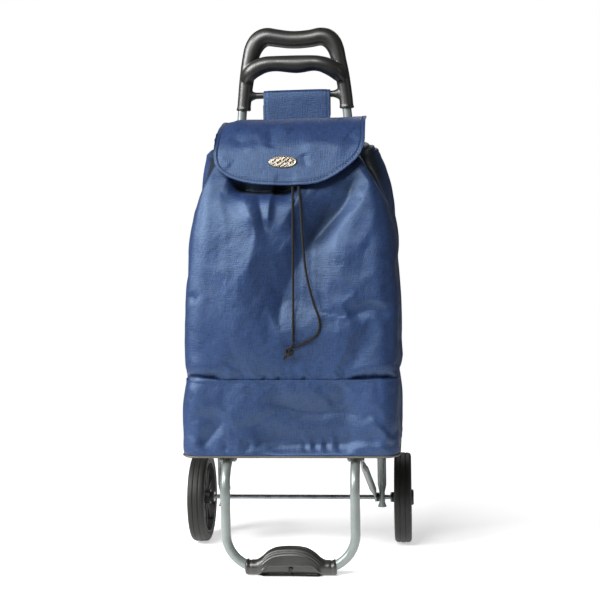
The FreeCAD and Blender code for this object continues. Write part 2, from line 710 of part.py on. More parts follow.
# ---------------------------------------------------------------- front foot
def make_foot():
    """Moulded foot: a sleeve round the floor run and an arched tread in front."""
    body = doc.addObject("PartDesign::Body", "foot")
    half, arch = "foot_width / 2", "foot_arch_width / 2"
    low, high = "foot_sleeve_height", "foot_arch_height"
    outline = profile_sketch(body, "foot_outline", "XZ_Plane", [
        (f"- {half}", "foot_underside"), (half, "foot_underside"), (half, low),
        (arch, f"{low} + 2.5"), (f"{arch} * 0.68", f"{high} - 9"),
        (f"{arch} * 0.36", f"{high} - 1.5"), ("foot_middle", high),
        (f"- {arch} * 0.36", f"{high} - 1.5"), (f"- {arch} * 0.68", f"{high} - 9"),
        (f"- {arch}", f"{low} + 2.5"), (f"- {half}", low)])
    pad = body.newObject("PartDesign::Pad", "foot_pad_solid")
    pad.Profile = outline
    bind(pad, Length="foot_depth")
    pad.Midplane = True
    window = profile_sketch(body, "foot_window", "XZ_Plane", [
        (f"- {arch} * 0.86", "window_low"), (f"{arch} * 0.86", "window_low"),
        (f"{arch} * 0.55", "window_high"), (f"- {arch} * 0.55", "window_high")])
    window.AttachmentOffset = Placement(Vector(0, 0, dim("foot_depth") / 2), Rotation())
    pocket = body.newObject("PartDesign::Pocket", "foot_window_cut")
    pocket.Profile = window
    bind(pocket, Length="window_depth")
    body.Placement = Placement(Vector(0, dim("loop_front"), 0), Rotation())
    doc.recompute()
    if pocket.Shape.Volume > pad.Shape.Volume - 500:
        raise RuntimeError("the foot's window cut nothing")
    channel = round_bar("foot_channel", loop_spine(), "tube_diameter / 2 + 0.15")
    screw_hole = plain_cylinder("foot_screw_hole", 2.1, 40,
                                Vector(0, dim("loop_front"), dim("loop_floor_height")), -Y_AXIS)
    node(cut("foot_moulding", body, [channel, screw_hole]), "foot_pad")
    front = dim("loop_front") - dim("foot_depth") / 2 + dim("window_depth")
    shank = plain_cylinder("foot_screw_shank", 2, dim("loop_front") - 3 - front,
                           Vector(0, front - 1, dim("loop_floor_height")), Y_AXIS)
    head = plain_cylinder("foot_screw_head", 3.6, 2,
                          Vector(0, front - 2.05, dim("loop_floor_height")), Y_AXIS)
    node(fuse("foot_screw_whole", [shank, head]), "foot_screw")


make_foot()

# ----------------------------------------------------------------------- bag
BACK = dim("bag_back")
SKIN = dim("fabric")
BOARD_TOP = dim("board_bottom") + dim("board_thickness")


def base_outline(width, depth, corner, height):
    return rounded_rectangle(width, BACK - depth, BACK, corner, height)


def plate(name, wire, thickness):
    """A level plate over a closed wire, drawn up to its thickness."""
    outline = feature(f"{name}_outline", wire)
    obj = doc.addObject("Part::Extrusion", name)
    obj.Base = outline
    obj.DirMode = "Custom"
    obj.Dir = Z_AXIS
    obj.Solid = True
    obj.LengthFwd = thickness
    return obj


def make_base():
    """Stiff base board, the fabric floor over it and the piping round it."""
    width, depth, corner = dim("board_width"), dim("board_depth"), dim("board_corner")
    radius, gap = 1.4, 0.1
    front, back = BACK - depth, BACK - 2 * radius - gap
    board = plate("board", rounded_rectangle(width, front, back, corner, dim("board_bottom")),
                  dim("board_thickness"))
    node(board, "base_board")
    inset = 4
    inner = rounded_rectangle(width - 2 * inset, front + inset, BACK - inset, corner - inset,
                              BOARD_TOP + 0.05)
    node(plate("floor", inner, 1.5), "bag_floor")
    line = rounded_rectangle(width + 2 * (radius + gap), front - radius - gap, BACK - radius,
                             corner + radius, BOARD_TOP - radius - 0.2)
    piping = feature("piping_spine", line)
    ring = doc.addObject("Part::Circle", "piping_profile")
    ring.Radius = radius
    ring.Placement = Placement(line.Edges[0].valueAt(line.Edges[0].FirstParameter), turned(X_AXIS))
    trim = doc.addObject("Part::Sweep", "piping")
    trim.Sections = [ring]
    trim.Spine = (piping, [f"Edge{i + 1}" for i in range(len(line.Edges))])
    trim.Solid = True
    node(trim, "base_piping")


make_base()


def make_lower_band():
    """Lower band of the bag, a closed belt of doubled fabric."""
    bottom = BOARD_TOP + 0.1
    width, depth, corner = dim("band_width"), dim("band_depth"), dim("board_corner") + 4
    outer = plate("band_outer", base_outline(width, depth, corner, bottom), dim("band_top") - bottom)
    inner_wire = rounded_rectangle(width - 2 * SKIN, BACK - depth + SKIN, BACK - SKIN,
                                   corner - SKIN, bottom - 1)
    inner = plate("band_inner", inner_wire, dim("band_top") - bottom + 2)
    node(cut("band", outer, [inner]), "lower_band")


make_lower_band()

# Width, front and corner radius of the upper bag at each height.
BAG_LEVELS = [
    (dim("band_top") + 0.1, dim("band_width") - 1, BACK - dim("band_depth") + 0.5, 28),
    (450, 355, -124, 30), (560, 334, -114, 32), (640, 304, -95, 34),
    (690, 266, -70, 34),
    (dim("mouth_bottom"), dim("mouth_width"), BACK - dim("mouth_depth"), dim("mouth_corner")),
]


def corner_arc(centre, radius, start, end, height):
    """Arc in a level plane between two angles in degrees."""
    points = []
    for angle in (start, (start + end) / 2, end):
        turn = math.radians(angle)
        points.append(Vector(centre[0] + radius * math.cos(turn),
                             centre[1] + radius * math.sin(turn), height))
    return Part.Arc(*points).toShape()


def panel_section(width, front, corner, height, first_angle):
    """One side of the bag's wall: half a corner, a straight and half a corner.

    first_angle is where the side begins, 45 degrees before its first corner ends.
    """
    x, back = width / 2, BACK
    centres = {225: (-x + corner, front + corner), 315: (x - corner, front + corner),
               45: (x - corner, back - corner), 135: (-x + corner, back - corner)}
    first = centres[first_angle % 360]
    second = centres[(first_angle + 90) % 360]
    inner = corner - SKIN
    outer_a = corner_arc(first, corner, first_angle, first_angle + 45, height)
    outer_b = corner_arc(second, corner, first_angle + 45, first_angle + 90, height)
    inner_b = corner_arc(second, inner, first_angle + 90, first_angle + 45, height)
    inner_a = corner_arc(first, inner, first_angle + 45, first_angle, height)
    arcs = [outer_a, outer_b, inner_b, inner_a]
    edges = []
    for arc, following in zip(arcs, arcs[1:] + arcs[:1]):
        edges.append(arc)
        tail = arc.valueAt(arc.LastParameter)
        edges.append(Part.LineSegment(tail, following.valueAt(following.FirstParameter)).toShape())
    return Part.Wire(edges)


def make_panel(label, first_angle):
    """One fabric panel of the upper bag, lofted through the levels."""
    sections = []
    for height, width, front, corner in BAG_LEVELS:
        wire = panel_section(width, front, corner, height, first_angle)
        sections.append(feature(f"{label}_section", wire))
    loft = doc.addObject("Part::Loft", f"{label}_loft")
    loft.Sections = sections
    loft.Solid = True
    loft.Ruled = True
    return node(loft, label)


for label, first_angle in (("bag_front", 225), ("bag_side_right", 315),
                           ("bag_back", 45), ("bag_side_left", 135)):
    make_panel(label, first_angle)


# -------------------------------------------------------- mouth and drawstring
CORD_R = dim("cord_diameter") / 2
MOUTH_FRONT = BACK - dim("mouth_depth")
MOUTH_BACK = BACK - dim("root_fabric") - 0.2
EXIT_X = (9, 22)
EXIT_Z = dim("mouth_bottom") + dim("mouth_height") / 2


def casing_route():
    """Route of the drawstring inside the mouth's hem, from exit to exit."""
    inset = dim("mouth_wall") / 2
    x = dim("mouth_width") / 2 - inset
    front, back = MOUTH_FRONT + inset, MOUTH_BACK - inset
    start = MOUTH_FRONT - 1
    points = [Vector(EXIT_X[0], start, EXIT_Z), Vector(EXIT_X[0], front, EXIT_Z),
              Vector(-x, front, EXIT_Z), Vector(-x, back, EXIT_Z), Vector(x, back, EXIT_Z),
              Vector(x, front, EXIT_Z), Vector(EXIT_X[1], front, EXIT_Z),
              Vector(EXIT_X[1], start, EXIT_Z)]
    bend = 3.5
    corner = dim("mouth_corner") - inset
    return rounded_path(points, [bend, corner, corner, corner, corner, bend])


def make_mouth():
    """Hem round the mouth with its hollow for the cord, and two eyelets."""
    height, wall = dim("mouth_height"), dim("mouth_wall")
    bottom = dim("mouth_bottom") + 0.1
    outer_wire = rounded_rectangle(dim("mouth_width"), MOUTH_FRONT, MOUTH_BACK,
                                   dim("mouth_corner"), bottom)
    outer = plate("mouth_outer", outer_wire, height)
    inner_wire = rounded_rectangle(dim("mouth_width") - 2 * wall, MOUTH_FRONT + wall,
                                   MOUTH_BACK - wall, dim("mouth_corner") - wall, bottom - 1)
    inner = plate("mouth_inner", inner_wire, height + 2)
    channel = round_bar("mouth_channel", casing_route(), "cord_diameter / 2 + 0.4")
    node(cut("mouth_hem", outer, [inner, channel]), "mouth_casing")
    eyelets = []
    for x in EXIT_X:
        face = Vector(x, MOUTH_FRONT - 0.1, EXIT_Z)
        disc = cylinder("eyelet_disc", "eyelet_diameter / 2", "eyelet_thickness", face, -Y_AXIS)
        bore = plain_cylinder("eyelet_bore", CORD_R + 0.4, 8, face + Y_AXIS * 2, -Y_AXIS)
        eyelets.append(cut("eyelet", disc, [bore]))
    group("eyelets", eyelets)


make_mouth()


def cord_radii(points):
    """Arc radii of a limp cord: as large as the two runs at a point allow."""
    radii = []
    for before, corner, after in zip(points, points[1:], points[2:]):
        turn = (corner - before).getAngle(after - corner)
        shorter = min((corner - before).Length, (after - corner).Length)
        radii.append(0.45 * shorter / math.tan(turn / 2))
    return radii


def cord(label, points):
    """A length of drawstring along a hand-chosen route."""
    points = [Vector(*p) for p in points]
    radii = cord_radii(points)
    spine = rounded_path(points, radii)
    bar = node(round_bar(f"{label}_bar", spine, "cord_diameter / 2"), label)
    print(label, "length", round(spine.Length, 1), "radii", [round(r, 1) for r in radii])
    return bar, spine.Length


# Each strand leaves its eyelet, turns down and lies on the bag's front.
EXIT_Y = MOUTH_FRONT - 1
LEFT_STRAND = [
    (9, EXIT_Y, EXIT_Z), (9, EXIT_Y - 9, EXIT_Z), (9.4, EXIT_Y - 19, EXIT_Z - 10),
    (10.5, -85, 693), (11.6, -101, 655), (12, -113, 604), (12.3, -123, 548),
    (12, -129.5, 489), (11.4, -132, 432), (10, -133, 386)]
RIGHT_STRAND = [
    (22, EXIT_Y, EXIT_Z), (22, EXIT_Y - 9, EXIT_Z), (21.4, EXIT_Y - 19, EXIT_Z - 10),
    (20, -85, 693), (19.6, -101, 655), (25, -112, 608), (28, -123, 552),
    (32, -129.5, 501), (43, -131.5, 452), (54.5, -132.5, 423), (53.5, -133, 402),
    (40, -133.5, 389), (22.6, -133.5, 382.6)]

casing = node(round_bar("drawstring_run", casing_route(), "cord_diameter / 2"), "drawstring_casing")
left_cord, left_length = cord("drawstring_left", LEFT_STRAND)
right_cord, right_length = cord("drawstring_right", RIGHT_STRAND)


def make_knot():
    """Overhand knot that ties both ends, as the plain shape it fills."""
    ball = doc.addObject("Part::Ellipsoid", "knot_ball")
    ball.Radius1, ball.Radius2, ball.Radius3 = 5.5, 9.5, 6
    ball.Angle1, ball.Angle2, ball.Angle3 = -90, 90, 360
    middle = Vector(3.5, -134, 371)
    ball.Placement = Placement(middle, Rotation(Y_AXIS, -38))
    ends = [Vector(*LEFT_STRAND[-1]), Vector(*RIGHT_STRAND[-1])]
    stubs = []
    for i, end in enumerate(ends):
        points = (LEFT_STRAND, RIGHT_STRAND)[i]
        run = (Vector(*points[-1]) - Vector(*points[-2])).normalize()
        bend = end + run * 3
        stubs.append(round_bar(f"knot_stub_{i}", rounded_path([end, bend, middle], [3.0]),
                               "cord_diameter / 2"))
    tail = plain_cylinder("knot_tail", CORD_R, 15, Vector(2, -134, 369), Vector(-9, 0, -12))
    node(fuse("knot_whole", [ball, tail] + stubs), "drawstring_knot")


make_knot()


# ---------------------------------------------------------- hanging sleeve
def make_sleeve():
    """Fabric sleeve over the handle's rod; its front leaf is sewn to the bag."""
    inner = dim("rod_diameter") / 2 + 0.5
    outer = inner + dim("sleeve_fabric")
    x = dim("sleeve_width") / 2
    centre = Vector(-x, AXLE_Y, dim("rod_height"))
    bottom = dim("sleeve_bottom")
    front_y = BACK + 0.1

    def leaf_point(y, z):
        return Vector(-x, y, z)

    def arch(radius):
        middle = leaf_point(AXLE_Y, centre.z + radius)
        return Part.Arc(leaf_point(AXLE_Y - radius, centre.z), middle,
                        leaf_point(AXLE_Y + radius, centre.z)).toShape()

    def line(*points):
        return [Part.LineSegment(a, b).toShape() for a, b in zip(points, points[1:])]

    top = centre.z
    fabric = dim("sleeve_fabric")
    edges = [arch(outer)]
    edges += line(leaf_point(AXLE_Y + outer, top), leaf_point(AXLE_Y + outer, bottom + 30),
                  leaf_point(AXLE_Y + inner, bottom + 30), leaf_point(AXLE_Y + inner, top))
    edges += [arch(inner)]
    edges += line(leaf_point(AXLE_Y - inner, top), leaf_point(front_y + fabric, top - 20),
                  leaf_point(front_y + fabric, bottom), leaf_point(front_y, bottom),
                  leaf_point(front_y, top - 20), leaf_point(AXLE_Y - outer, top))
    outline = feature("sleeve_outline", Part.Wire(Part.__sortEdges__(edges)))
    band = doc.addObject("Part::Extrusion", "sleeve")
    band.Base = outline
    band.DirMode = "Custom"
    band.Dir = X_AXIS
    band.Solid = True
    bind(band, LengthFwd="sleeve_width")
    node(band, "hang_sleeve")
    gap_front = front_y + fabric + 0.1
    gap_back = AXLE_Y + inner - 0.1
    thickness = (gap_back - gap_front) / 2 - 0.05
    for label, start in (("sleeve_loop_tape", gap_front), ("sleeve_hook_tape", gap_back - thickness)):
        tape = doc.addObject("Part::Box", f"{label}_strip")
        tape.Length = dim("sleeve_width") - 8
        tape.Width = thickness
        tape.Height = 25
        tape.Placement = Placement(Vector(-x + 4, start, bottom + 31), Rotation())
        node(tape, label)


make_sleeve()


# --------------------------------------------------------------- tube straps
def make_strap(side, sign):
    """Webbing loop sewn to the bag's back, round one rear tube."""
    level = dim("strap_level")
    low = Vector(sign * rear_tube_x(level - 20), AXLE_Y, level - 20)
    high = Vector(sign * rear_tube_x(level + 20), AXLE_Y, level + 20)
    lean = (high - low).normalize()
    inner, outer = TUBE_R + 0.3, TUBE_R + 1.8
    front = BACK - AXLE_Y + 0.2
    tab = 16

    def half_loop(radius):
        return Part.Arc(Vector(-radius, 0, 0), Vector(0, radius, 0), Vector(radius, 0, 0)).toShape()

    points_right = [Vector(outer, 0, 0), Vector(outer, front + 1.5, 0),
                    Vector(outer + tab, front + 1.5, 0), Vector(outer + tab, front, 0),
                    Vector(inner, front, 0), Vector(inner, 0, 0)]
    edges = [half_loop(outer), half_loop(inner)]
    for mirror in (1, -1):
        run = [Vector(mirror * p.x, p.y, 0) for p in points_right]
        edges += [Part.LineSegment(a, b).toShape() for a, b in zip(run, run[1:])]
    face = Part.Face(Part.Wire(Part.__sortEdges__(edges)))
    strap = feature(f"tube_strap_{side}_loop", face.extrude(Z_AXIS * dim("strap_height")))
    centre = (low + high) * 0.5 - lean * (dim("strap_height") / 2)
    strap.Placement = Placement(centre, turned(lean))
    node(strap, f"tube_strap_{side}")


for side, sign in SIDES:
    make_strap(side, sign)

# ------------------------------------------------------------ flap and badge
FLAP_PROFILE = [(60, 751), (10, 760), (-50, 750), (-92, 705), (-108, 640)]
FLAP_RADII = [120, 60, 70]


def make_flap_root():
    """Strip of the back panel above the mouth, to which the flap is sewn."""
    strip = doc.addObject("Part::Box", "flap_root_strip")
    bind(strip, Length="root_width", Width="root_fabric",
         Height="root_top - mouth_bottom - 0.1")
    strip.Placement = Placement(Vector(-dim("root_width") / 2, BACK - dim("root_fabric"),
                                       dim("mouth_bottom") + 0.1), Rotation())
    node(strip, "flap_root")


def make_flap():
    """Rounded flap, sewn along its back edge and draped over the mouth."""
    half = dim("flap_width") / 2
    points = [Vector(-half, y, z) for y, z in FLAP_PROFILE]
    spine = rounded_path(points, FLAP_RADII)
    first = (points[1] - points[0]).normalize()
    across = first.cross(X_AXIS) * (dim("flap_thickness") / 2)
    width = X_AXIS * (2 * half)
    strip = Part.makePolygon([points[0] - across, points[0] - across + width,
                              points[0] + across + width, points[0] + across, points[0] - across])
    sheet_solid = sweep("flap_strip", spine, feature("flap_profile", strip))
    low, start, top = dim("flap_bottom") + 0.5, dim("flap_round_start"), 780
    y = -200
    corner = Part.BSplineCurve()
    corner.buildFromPoles([Vector(half, y, start), Vector(half, y, low + 14),
                           Vector(half * 0.62, y, low), Vector(0, y, low)])
    other = Part.BSplineCurve()
    other.buildFromPoles([Vector(0, y, low), Vector(-half * 0.62, y, low),
                          Vector(-half, y, low + 14), Vector(-half, y, start)])
    sides = [Vector(-half, y, start), Vector(-half, y, top), Vector(half, y, top), Vector(half, y, start)]
    edges = [corner.toShape(), other.toShape()]
    edges += [Part.LineSegment(a, b).toShape() for a, b in zip(sides, sides[1:])]
    outline = feature("flap_outline", Part.Wire(Part.__sortEdges__(edges)))
    prism = doc.addObject("Part::Extrusion", "flap_prism")
    prism.Base = outline
    prism.DirMode = "Custom"
    prism.Dir = Y_AXIS
    prism.Solid = True
    prism.LengthFwd = 400
    node(common("flap_sheet", sheet_solid, prism), "flap")


def make_badge():
    """Oval badge on the flap's lower run, its prongs held by a backing plate."""
    low, high = FLAP_PROFILE[-1], FLAP_PROFILE[-2]
    slope = (Vector(0, *high) - Vector(0, *low)).normalize()
    outward = slope.cross(X_AXIS).normalize()
    if outward.y > 0:
        outward = outward * -1
    level = dim("badge_level")
    share = (level - low[1]) / (high[1] - low[1])
    middle = Vector(-4, low[0] + share * (high[0] - low[0]), level)
    face = middle + outward * (dim("flap_thickness") / 2 + 0.1)
    frame = Rotation(X_AXIS, slope, outward, "ZXY")
    oval = doc.addObject("Part::Ellipse", "badge_oval")
    bind(oval, MajorRadius="badge_width / 2", MinorRadius="badge_height / 2")
    oval.Placement = Placement(face, frame)
    disc = doc.addObject("Part::Extrusion", "badge_disc")
    disc.Base = oval
    disc.DirMode = "Custom"
    disc.Dir = outward
    disc.Solid = True
    bind(disc, LengthFwd="badge_thickness")
    node(disc, "badge")
    back = middle - outward * (dim("flap_thickness") / 2 + 0.1 + 0.8)
    backing = plain_cylinder("badge_backing_disc", 6, 0.8, back, outward)
    node(backing, "badge_backing")


make_flap_root()
make_flap()
make_badge()

# ------------------------------------------------------------ check and write
doc.recompute()
for obj in doc.Objects:
    if "Invalid" in obj.State or "Error" in obj.State:
        raise RuntimeError(f"{obj.Label} failed: {obj.State}")
cord_area = math.pi * CORD_R ** 2
for bar, length in ((left_cord, left_length), (right_cord, right_length)):
    print(bar.Label, "volume over section times length",
          round(bar.Shape.Volume / (cord_area * length), 4))
for obj in nodes:
    shape = obj.Shape
    if shape.isNull() or not shape.isValid() or shape.Volume <= 0:
        raise RuntimeError(f"{obj.Label} has no valid shape")
    print(obj.Label, "solids", len(shape.Solids), "volume", round(shape.Volume / 1000, 2))
for obj in nodes:
    obj.Shape.exportStep(f"parts/{obj.Label}.step")
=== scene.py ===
import math

import bpy
import numpy as np
from mathutils import Matrix, Vector, noise


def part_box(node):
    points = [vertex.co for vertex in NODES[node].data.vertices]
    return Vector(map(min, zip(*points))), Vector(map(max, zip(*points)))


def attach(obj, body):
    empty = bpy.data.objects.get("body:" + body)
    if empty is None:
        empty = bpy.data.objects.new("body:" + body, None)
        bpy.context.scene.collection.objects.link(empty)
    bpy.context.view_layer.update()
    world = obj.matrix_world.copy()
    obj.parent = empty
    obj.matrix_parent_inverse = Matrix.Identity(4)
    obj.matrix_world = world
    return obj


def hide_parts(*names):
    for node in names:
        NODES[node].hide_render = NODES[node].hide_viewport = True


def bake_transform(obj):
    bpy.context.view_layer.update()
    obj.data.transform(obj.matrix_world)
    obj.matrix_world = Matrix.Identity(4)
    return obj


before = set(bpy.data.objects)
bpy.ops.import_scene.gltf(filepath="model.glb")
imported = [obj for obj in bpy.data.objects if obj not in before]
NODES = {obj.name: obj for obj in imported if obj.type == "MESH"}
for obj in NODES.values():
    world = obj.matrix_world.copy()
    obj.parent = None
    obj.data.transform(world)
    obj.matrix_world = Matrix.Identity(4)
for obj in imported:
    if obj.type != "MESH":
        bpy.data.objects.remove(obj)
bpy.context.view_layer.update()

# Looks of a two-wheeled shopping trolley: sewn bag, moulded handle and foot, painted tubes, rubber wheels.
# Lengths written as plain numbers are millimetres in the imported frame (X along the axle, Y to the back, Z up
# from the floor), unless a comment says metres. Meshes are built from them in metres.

MM = 0.001
UV_NAME = "Cloth"
# painted shade: the attribute named here marks how deep in a fold each point of the bag lies, and the cloth's colour is
# darkened by it, standing for the shade in the folds
PAINTED_FOLD_SHADE = "painted_fold_shade"             # how deep in a fold a point of the bag lies, 0 to 1, to paint the cloth darker


# ---------------- camera
FRONT_LENS_MM = 73.6          # on a 36 mm wide sensor
STAND_OFF, EYE_HEIGHT, SIDE_STEP = 2.189, 0.612, 0.0032          # metres
HEADING, LOOK_DOWN, ROLL = math.radians(5.42), math.radians(4.55), math.radians(-1.11)


def make_camera():
    """From the front, a little to the right, at the height of the bag's upper half."""
    low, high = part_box("axle")
    up = Vector((0, 0, 1))
    ahead = Vector((-math.sin(HEADING), math.cos(HEADING), 0))
    aside = Vector((math.cos(HEADING), math.sin(HEADING), 0))
    look = ahead * math.cos(LOOK_DOWN) - up * math.sin(LOOK_DOWN)
    top = up * math.cos(LOOK_DOWN) + ahead * math.sin(LOOK_DOWN)
    right = aside * math.cos(ROLL) + top * math.sin(ROLL)
    top = top * math.cos(ROLL) - aside * math.sin(ROLL)
    camera = bpy.data.cameras.new("front_camera")
    camera.lens = FRONT_LENS_MM
    camera.sensor_width = 36
    camera.clip_end = 60
    holder = bpy.data.objects.new("front_camera", camera)
    bpy.context.scene.collection.objects.link(holder)
    turn = Matrix((right, top, -look)).transposed().to_4x4()
    place = Vector((0, (low.y + high.y) / 2, EYE_HEIGHT)) - ahead * STAND_OFF + aside * SIDE_STEP
    holder.matrix_world = Matrix.Translation(place) @ turn
    bpy.context.scene.camera = holder


make_camera()


# ---------------- mesh helpers
def smooth(t):
    """0 below 0, 1 above 1, and an easy slope between."""
    t = np.clip(t, 0.0, 1.0)
    return t * t * (3 - 2 * t)


def bell(t):
    """1 at 0, falling to nearly 0 at 2 on either side."""
    return np.exp(-(t ** 2))


def full_turn(count):
    """That many angles, evenly round a circle."""
    return np.linspace(0, 2 * math.pi, count, endpoint=False)


def squarish(t, power):
    """A sine or cosine bent towards a square wave, for sections between an oval and a rectangle."""
    return np.sign(t) * np.abs(t) ** power


def lengths_along(line):
    """How far along a line of points each of them is."""
    return np.concatenate([[0], np.cumsum(np.linalg.norm(np.diff(line, axis=0), axis=1))])


def new_object(name, data):
    made = bpy.data.objects.new(name, data)
    bpy.context.scene.collection.objects.link(made)
    return made


def mesh_object(name, points, faces, uv=None):
    """A mesh from points in metres. uv has one pair per point, in metres of cloth."""
    mesh = bpy.data.meshes.new(name)
    mesh.from_pydata(np.asarray(points, float).reshape(-1, 3).tolist(), [], faces)
    if uv is not None:
        uv = np.asarray(uv, float).reshape(-1, 2)
        layer = mesh.uv_layers.new(name=UV_NAME)
        corners = np.zeros(len(mesh.loops), np.int32)
        mesh.loops.foreach_get("vertex_index", corners)
        layer.data.foreach_set("uv", uv[corners].astype(np.float32).ravel())
    mesh.polygons.foreach_set("use_smooth", np.ones(len(mesh.polygons), bool))
    mesh.update()
    return new_object(name, mesh)


def grid_faces(rows, columns, closed=False, start=0):
    """Quads of a grid whose points run along a row first."""
    found = []
    for i in range(rows - 1):
        for j in range(columns if closed else columns - 1):
            k = (j + 1) % columns
            a, b = start + i * columns + j, start + i * columns + k
            found.append((a, b, b + columns, a + columns))
    return found


def tube_faces(rows, sides, start=0):
    """Faces of a tube of rings, closed at both ends."""
    last = start + (rows - 1) * sides
    return [*grid_faces(rows, sides, True, start), tuple(range(start, start + sides))[::-1],
            tuple(range(last, last + sides))]


def ring_faces(rows, columns):
    """Faces of a grid that is closed both ways, such as a tyre."""
    last = (rows - 1) * columns
    return grid_faces(rows, columns, True) + [(last + j, last + (j + 1) % columns, (j + 1) % columns, j)
                                              for j in range(columns)]


def grid_lengths(grid):
    """How far along the cloth each point of a grid is, across and up, in the grid's units."""
    across = np.zeros(grid.shape[:2])
    across[:, 1:] = np.cumsum(np.linalg.norm(np.diff(grid, axis=1), axis=2), axis=1)
    up = np.zeros(grid.shape[:2])
    up[1:] = np.cumsum(np.linalg.norm(np.diff(grid, axis=0), axis=2), axis=0)
    return np.stack([across, up.mean(axis=1, keepdims=True) + 0 * up], axis=2)


def grid_normals(grid, closed=False):
    """Unit normals of a grid of points, row direction crossed with column direction."""
    if closed:
        along = np.roll(grid, -1, axis=1) - np.roll(grid, 1, axis=1)
    else:
        along = np.gradient(grid, axis=1)
    up = np.gradient(grid, axis=0)
    normal = np.cross(along, up)
    return normal / np.maximum(np.linalg.norm(normal, axis=2, keepdims=True), 1e-9)


def paint_fold_shade(obj, share):
    """Stores how deep in a fold each point lies, which the cloth's material paints as shade in the folds."""
    layer = obj.data.attributes.new(PAINTED_FOLD_SHADE, "FLOAT", "POINT")
    layer.data.foreach_set("value", np.asarray(share, np.float32).ravel())


def curve_through(points, count):
    """count points evenly spaced on a smooth line through given points."""
    p = np.asarray(points, float)
    ends = np.vstack([2 * p[0] - p[1], p, 2 * p[-1] - p[-2]])
    fine = []
    for a, b, c, d in zip(ends[:-3], ends[1:-2], ends[2:-1], ends[3:]):
        t = np.linspace(0, 1, 24, endpoint=False)[:, None]
        fine.append(0.5 * (2 * b + (c - a) * t + (2 * a - 5 * b + 4 * c - d) * t ** 2
                           + (3 * b - a - 3 * c + d) * t ** 3))
    fine = np.vstack([*fine, p[-1:]])
    far = lengths_along(fine)
    want = np.linspace(0, far[-1], count)
    return np.stack([np.interp(want, far, fine[:, k]) for k in range(fine.shape[1])], axis=1)


def finish_mesh(obj, *modifiers):
    """Adds each (kind, settings) modifier in turn and keeps the resulting mesh."""
    for kind, settings in modifiers:
        modifier = obj.modifiers.new(kind.lower(), kind)
        for key, value in settings.items():
            setattr(modifier, key, value)
    bpy.context.view_layer.update()
    seen = obj.evaluated_get(bpy.context.evaluated_depsgraph_get())
    made = bpy.data.meshes.new_from_object(seen)
    obj.modifiers.clear()
    obj.data = made
    made.polygons.foreach_set("use_smooth", np.ones(len(made.polygons), bool))
    return obj


def joined(name, parts):
    """The parts as one object."""
    bpy.ops.object.select_all(action="DESELECT")
    for part in parts:
        part.select_set(True)
    bpy.context.view_layer.objects.active = parts[0]
    bpy.ops.object.join()
    parts[0].name = name
    return parts[0]


def thicken(obj, thickness, levels=1):
    """Gives cloth its thickness on the inner side, and rounds it."""
    return finish_mesh(
        obj, ("SOLIDIFY", {"thickness": thickness * MM, "offset": -1.0, "use_even_offset": False}),
        ("SUBSURF", {"levels": levels, "render_levels": levels}))


def ripple(points, size, seed):
    """Smooth random values from -1 to 1 at points in millimetres, of about that size, the same each run."""
    flat = points.reshape(-1, 3) / size + seed * 7.3
    return np.array([noise.noise(Vector(p)) for p in flat]).reshape(points.shape[:-1])


FOLD_CREST = 1.5              # 1 is a knife edge, 2 a round ridge
FOLD_FADE = 0.25              # the share of a fold's length that it fades over at each end


def stroke(flat, line, depth, left, right):
    """A fold along a line drawn on a flat view of the cloth: depth at the line, falling off within left or
    right of it as one travels along the line, and fading towards the line's ends."""
    line = np.asarray(line, float)
    if len(line) > 2:
        line = curve_through(line, 12)
    starts = lengths_along(line)
    nearest = np.full(flat.shape[:-1], 1e9)
    share, side = np.zeros_like(nearest), np.zeros_like(nearest)
    for a, b, start in zip(line[:-1], line[1:], starts):
        run = np.linalg.norm(b - a)
        d = (b - a) / run
        t = np.clip((flat - a) @ d, 0, run)
        off = flat - a - t[..., None] * d
        far = np.linalg.norm(off, axis=-1)
        closer = far < nearest
        nearest = np.where(closer, far, nearest)
        share = np.where(closer, (start + t) / starts[-1], share)
        side = np.where(closer, d[0] * off[..., 1] - d[1] * off[..., 0], side)
    width = np.where(side > 0, left, right)
    ends = smooth(share / FOLD_FADE) * smooth((1 - share) / FOLD_FADE)
    return depth * np.exp(-(nearest / width) ** FOLD_CREST) * ends


def place(obj, body, slot, material, *nodes):
    """obj rides on a body, takes a finish, and stands for CAD nodes."""
    obj.data.materials.clear()
    obj.data.materials.append(material)
    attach(obj, body)
    if nodes:
        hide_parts(*nodes)
    return obj


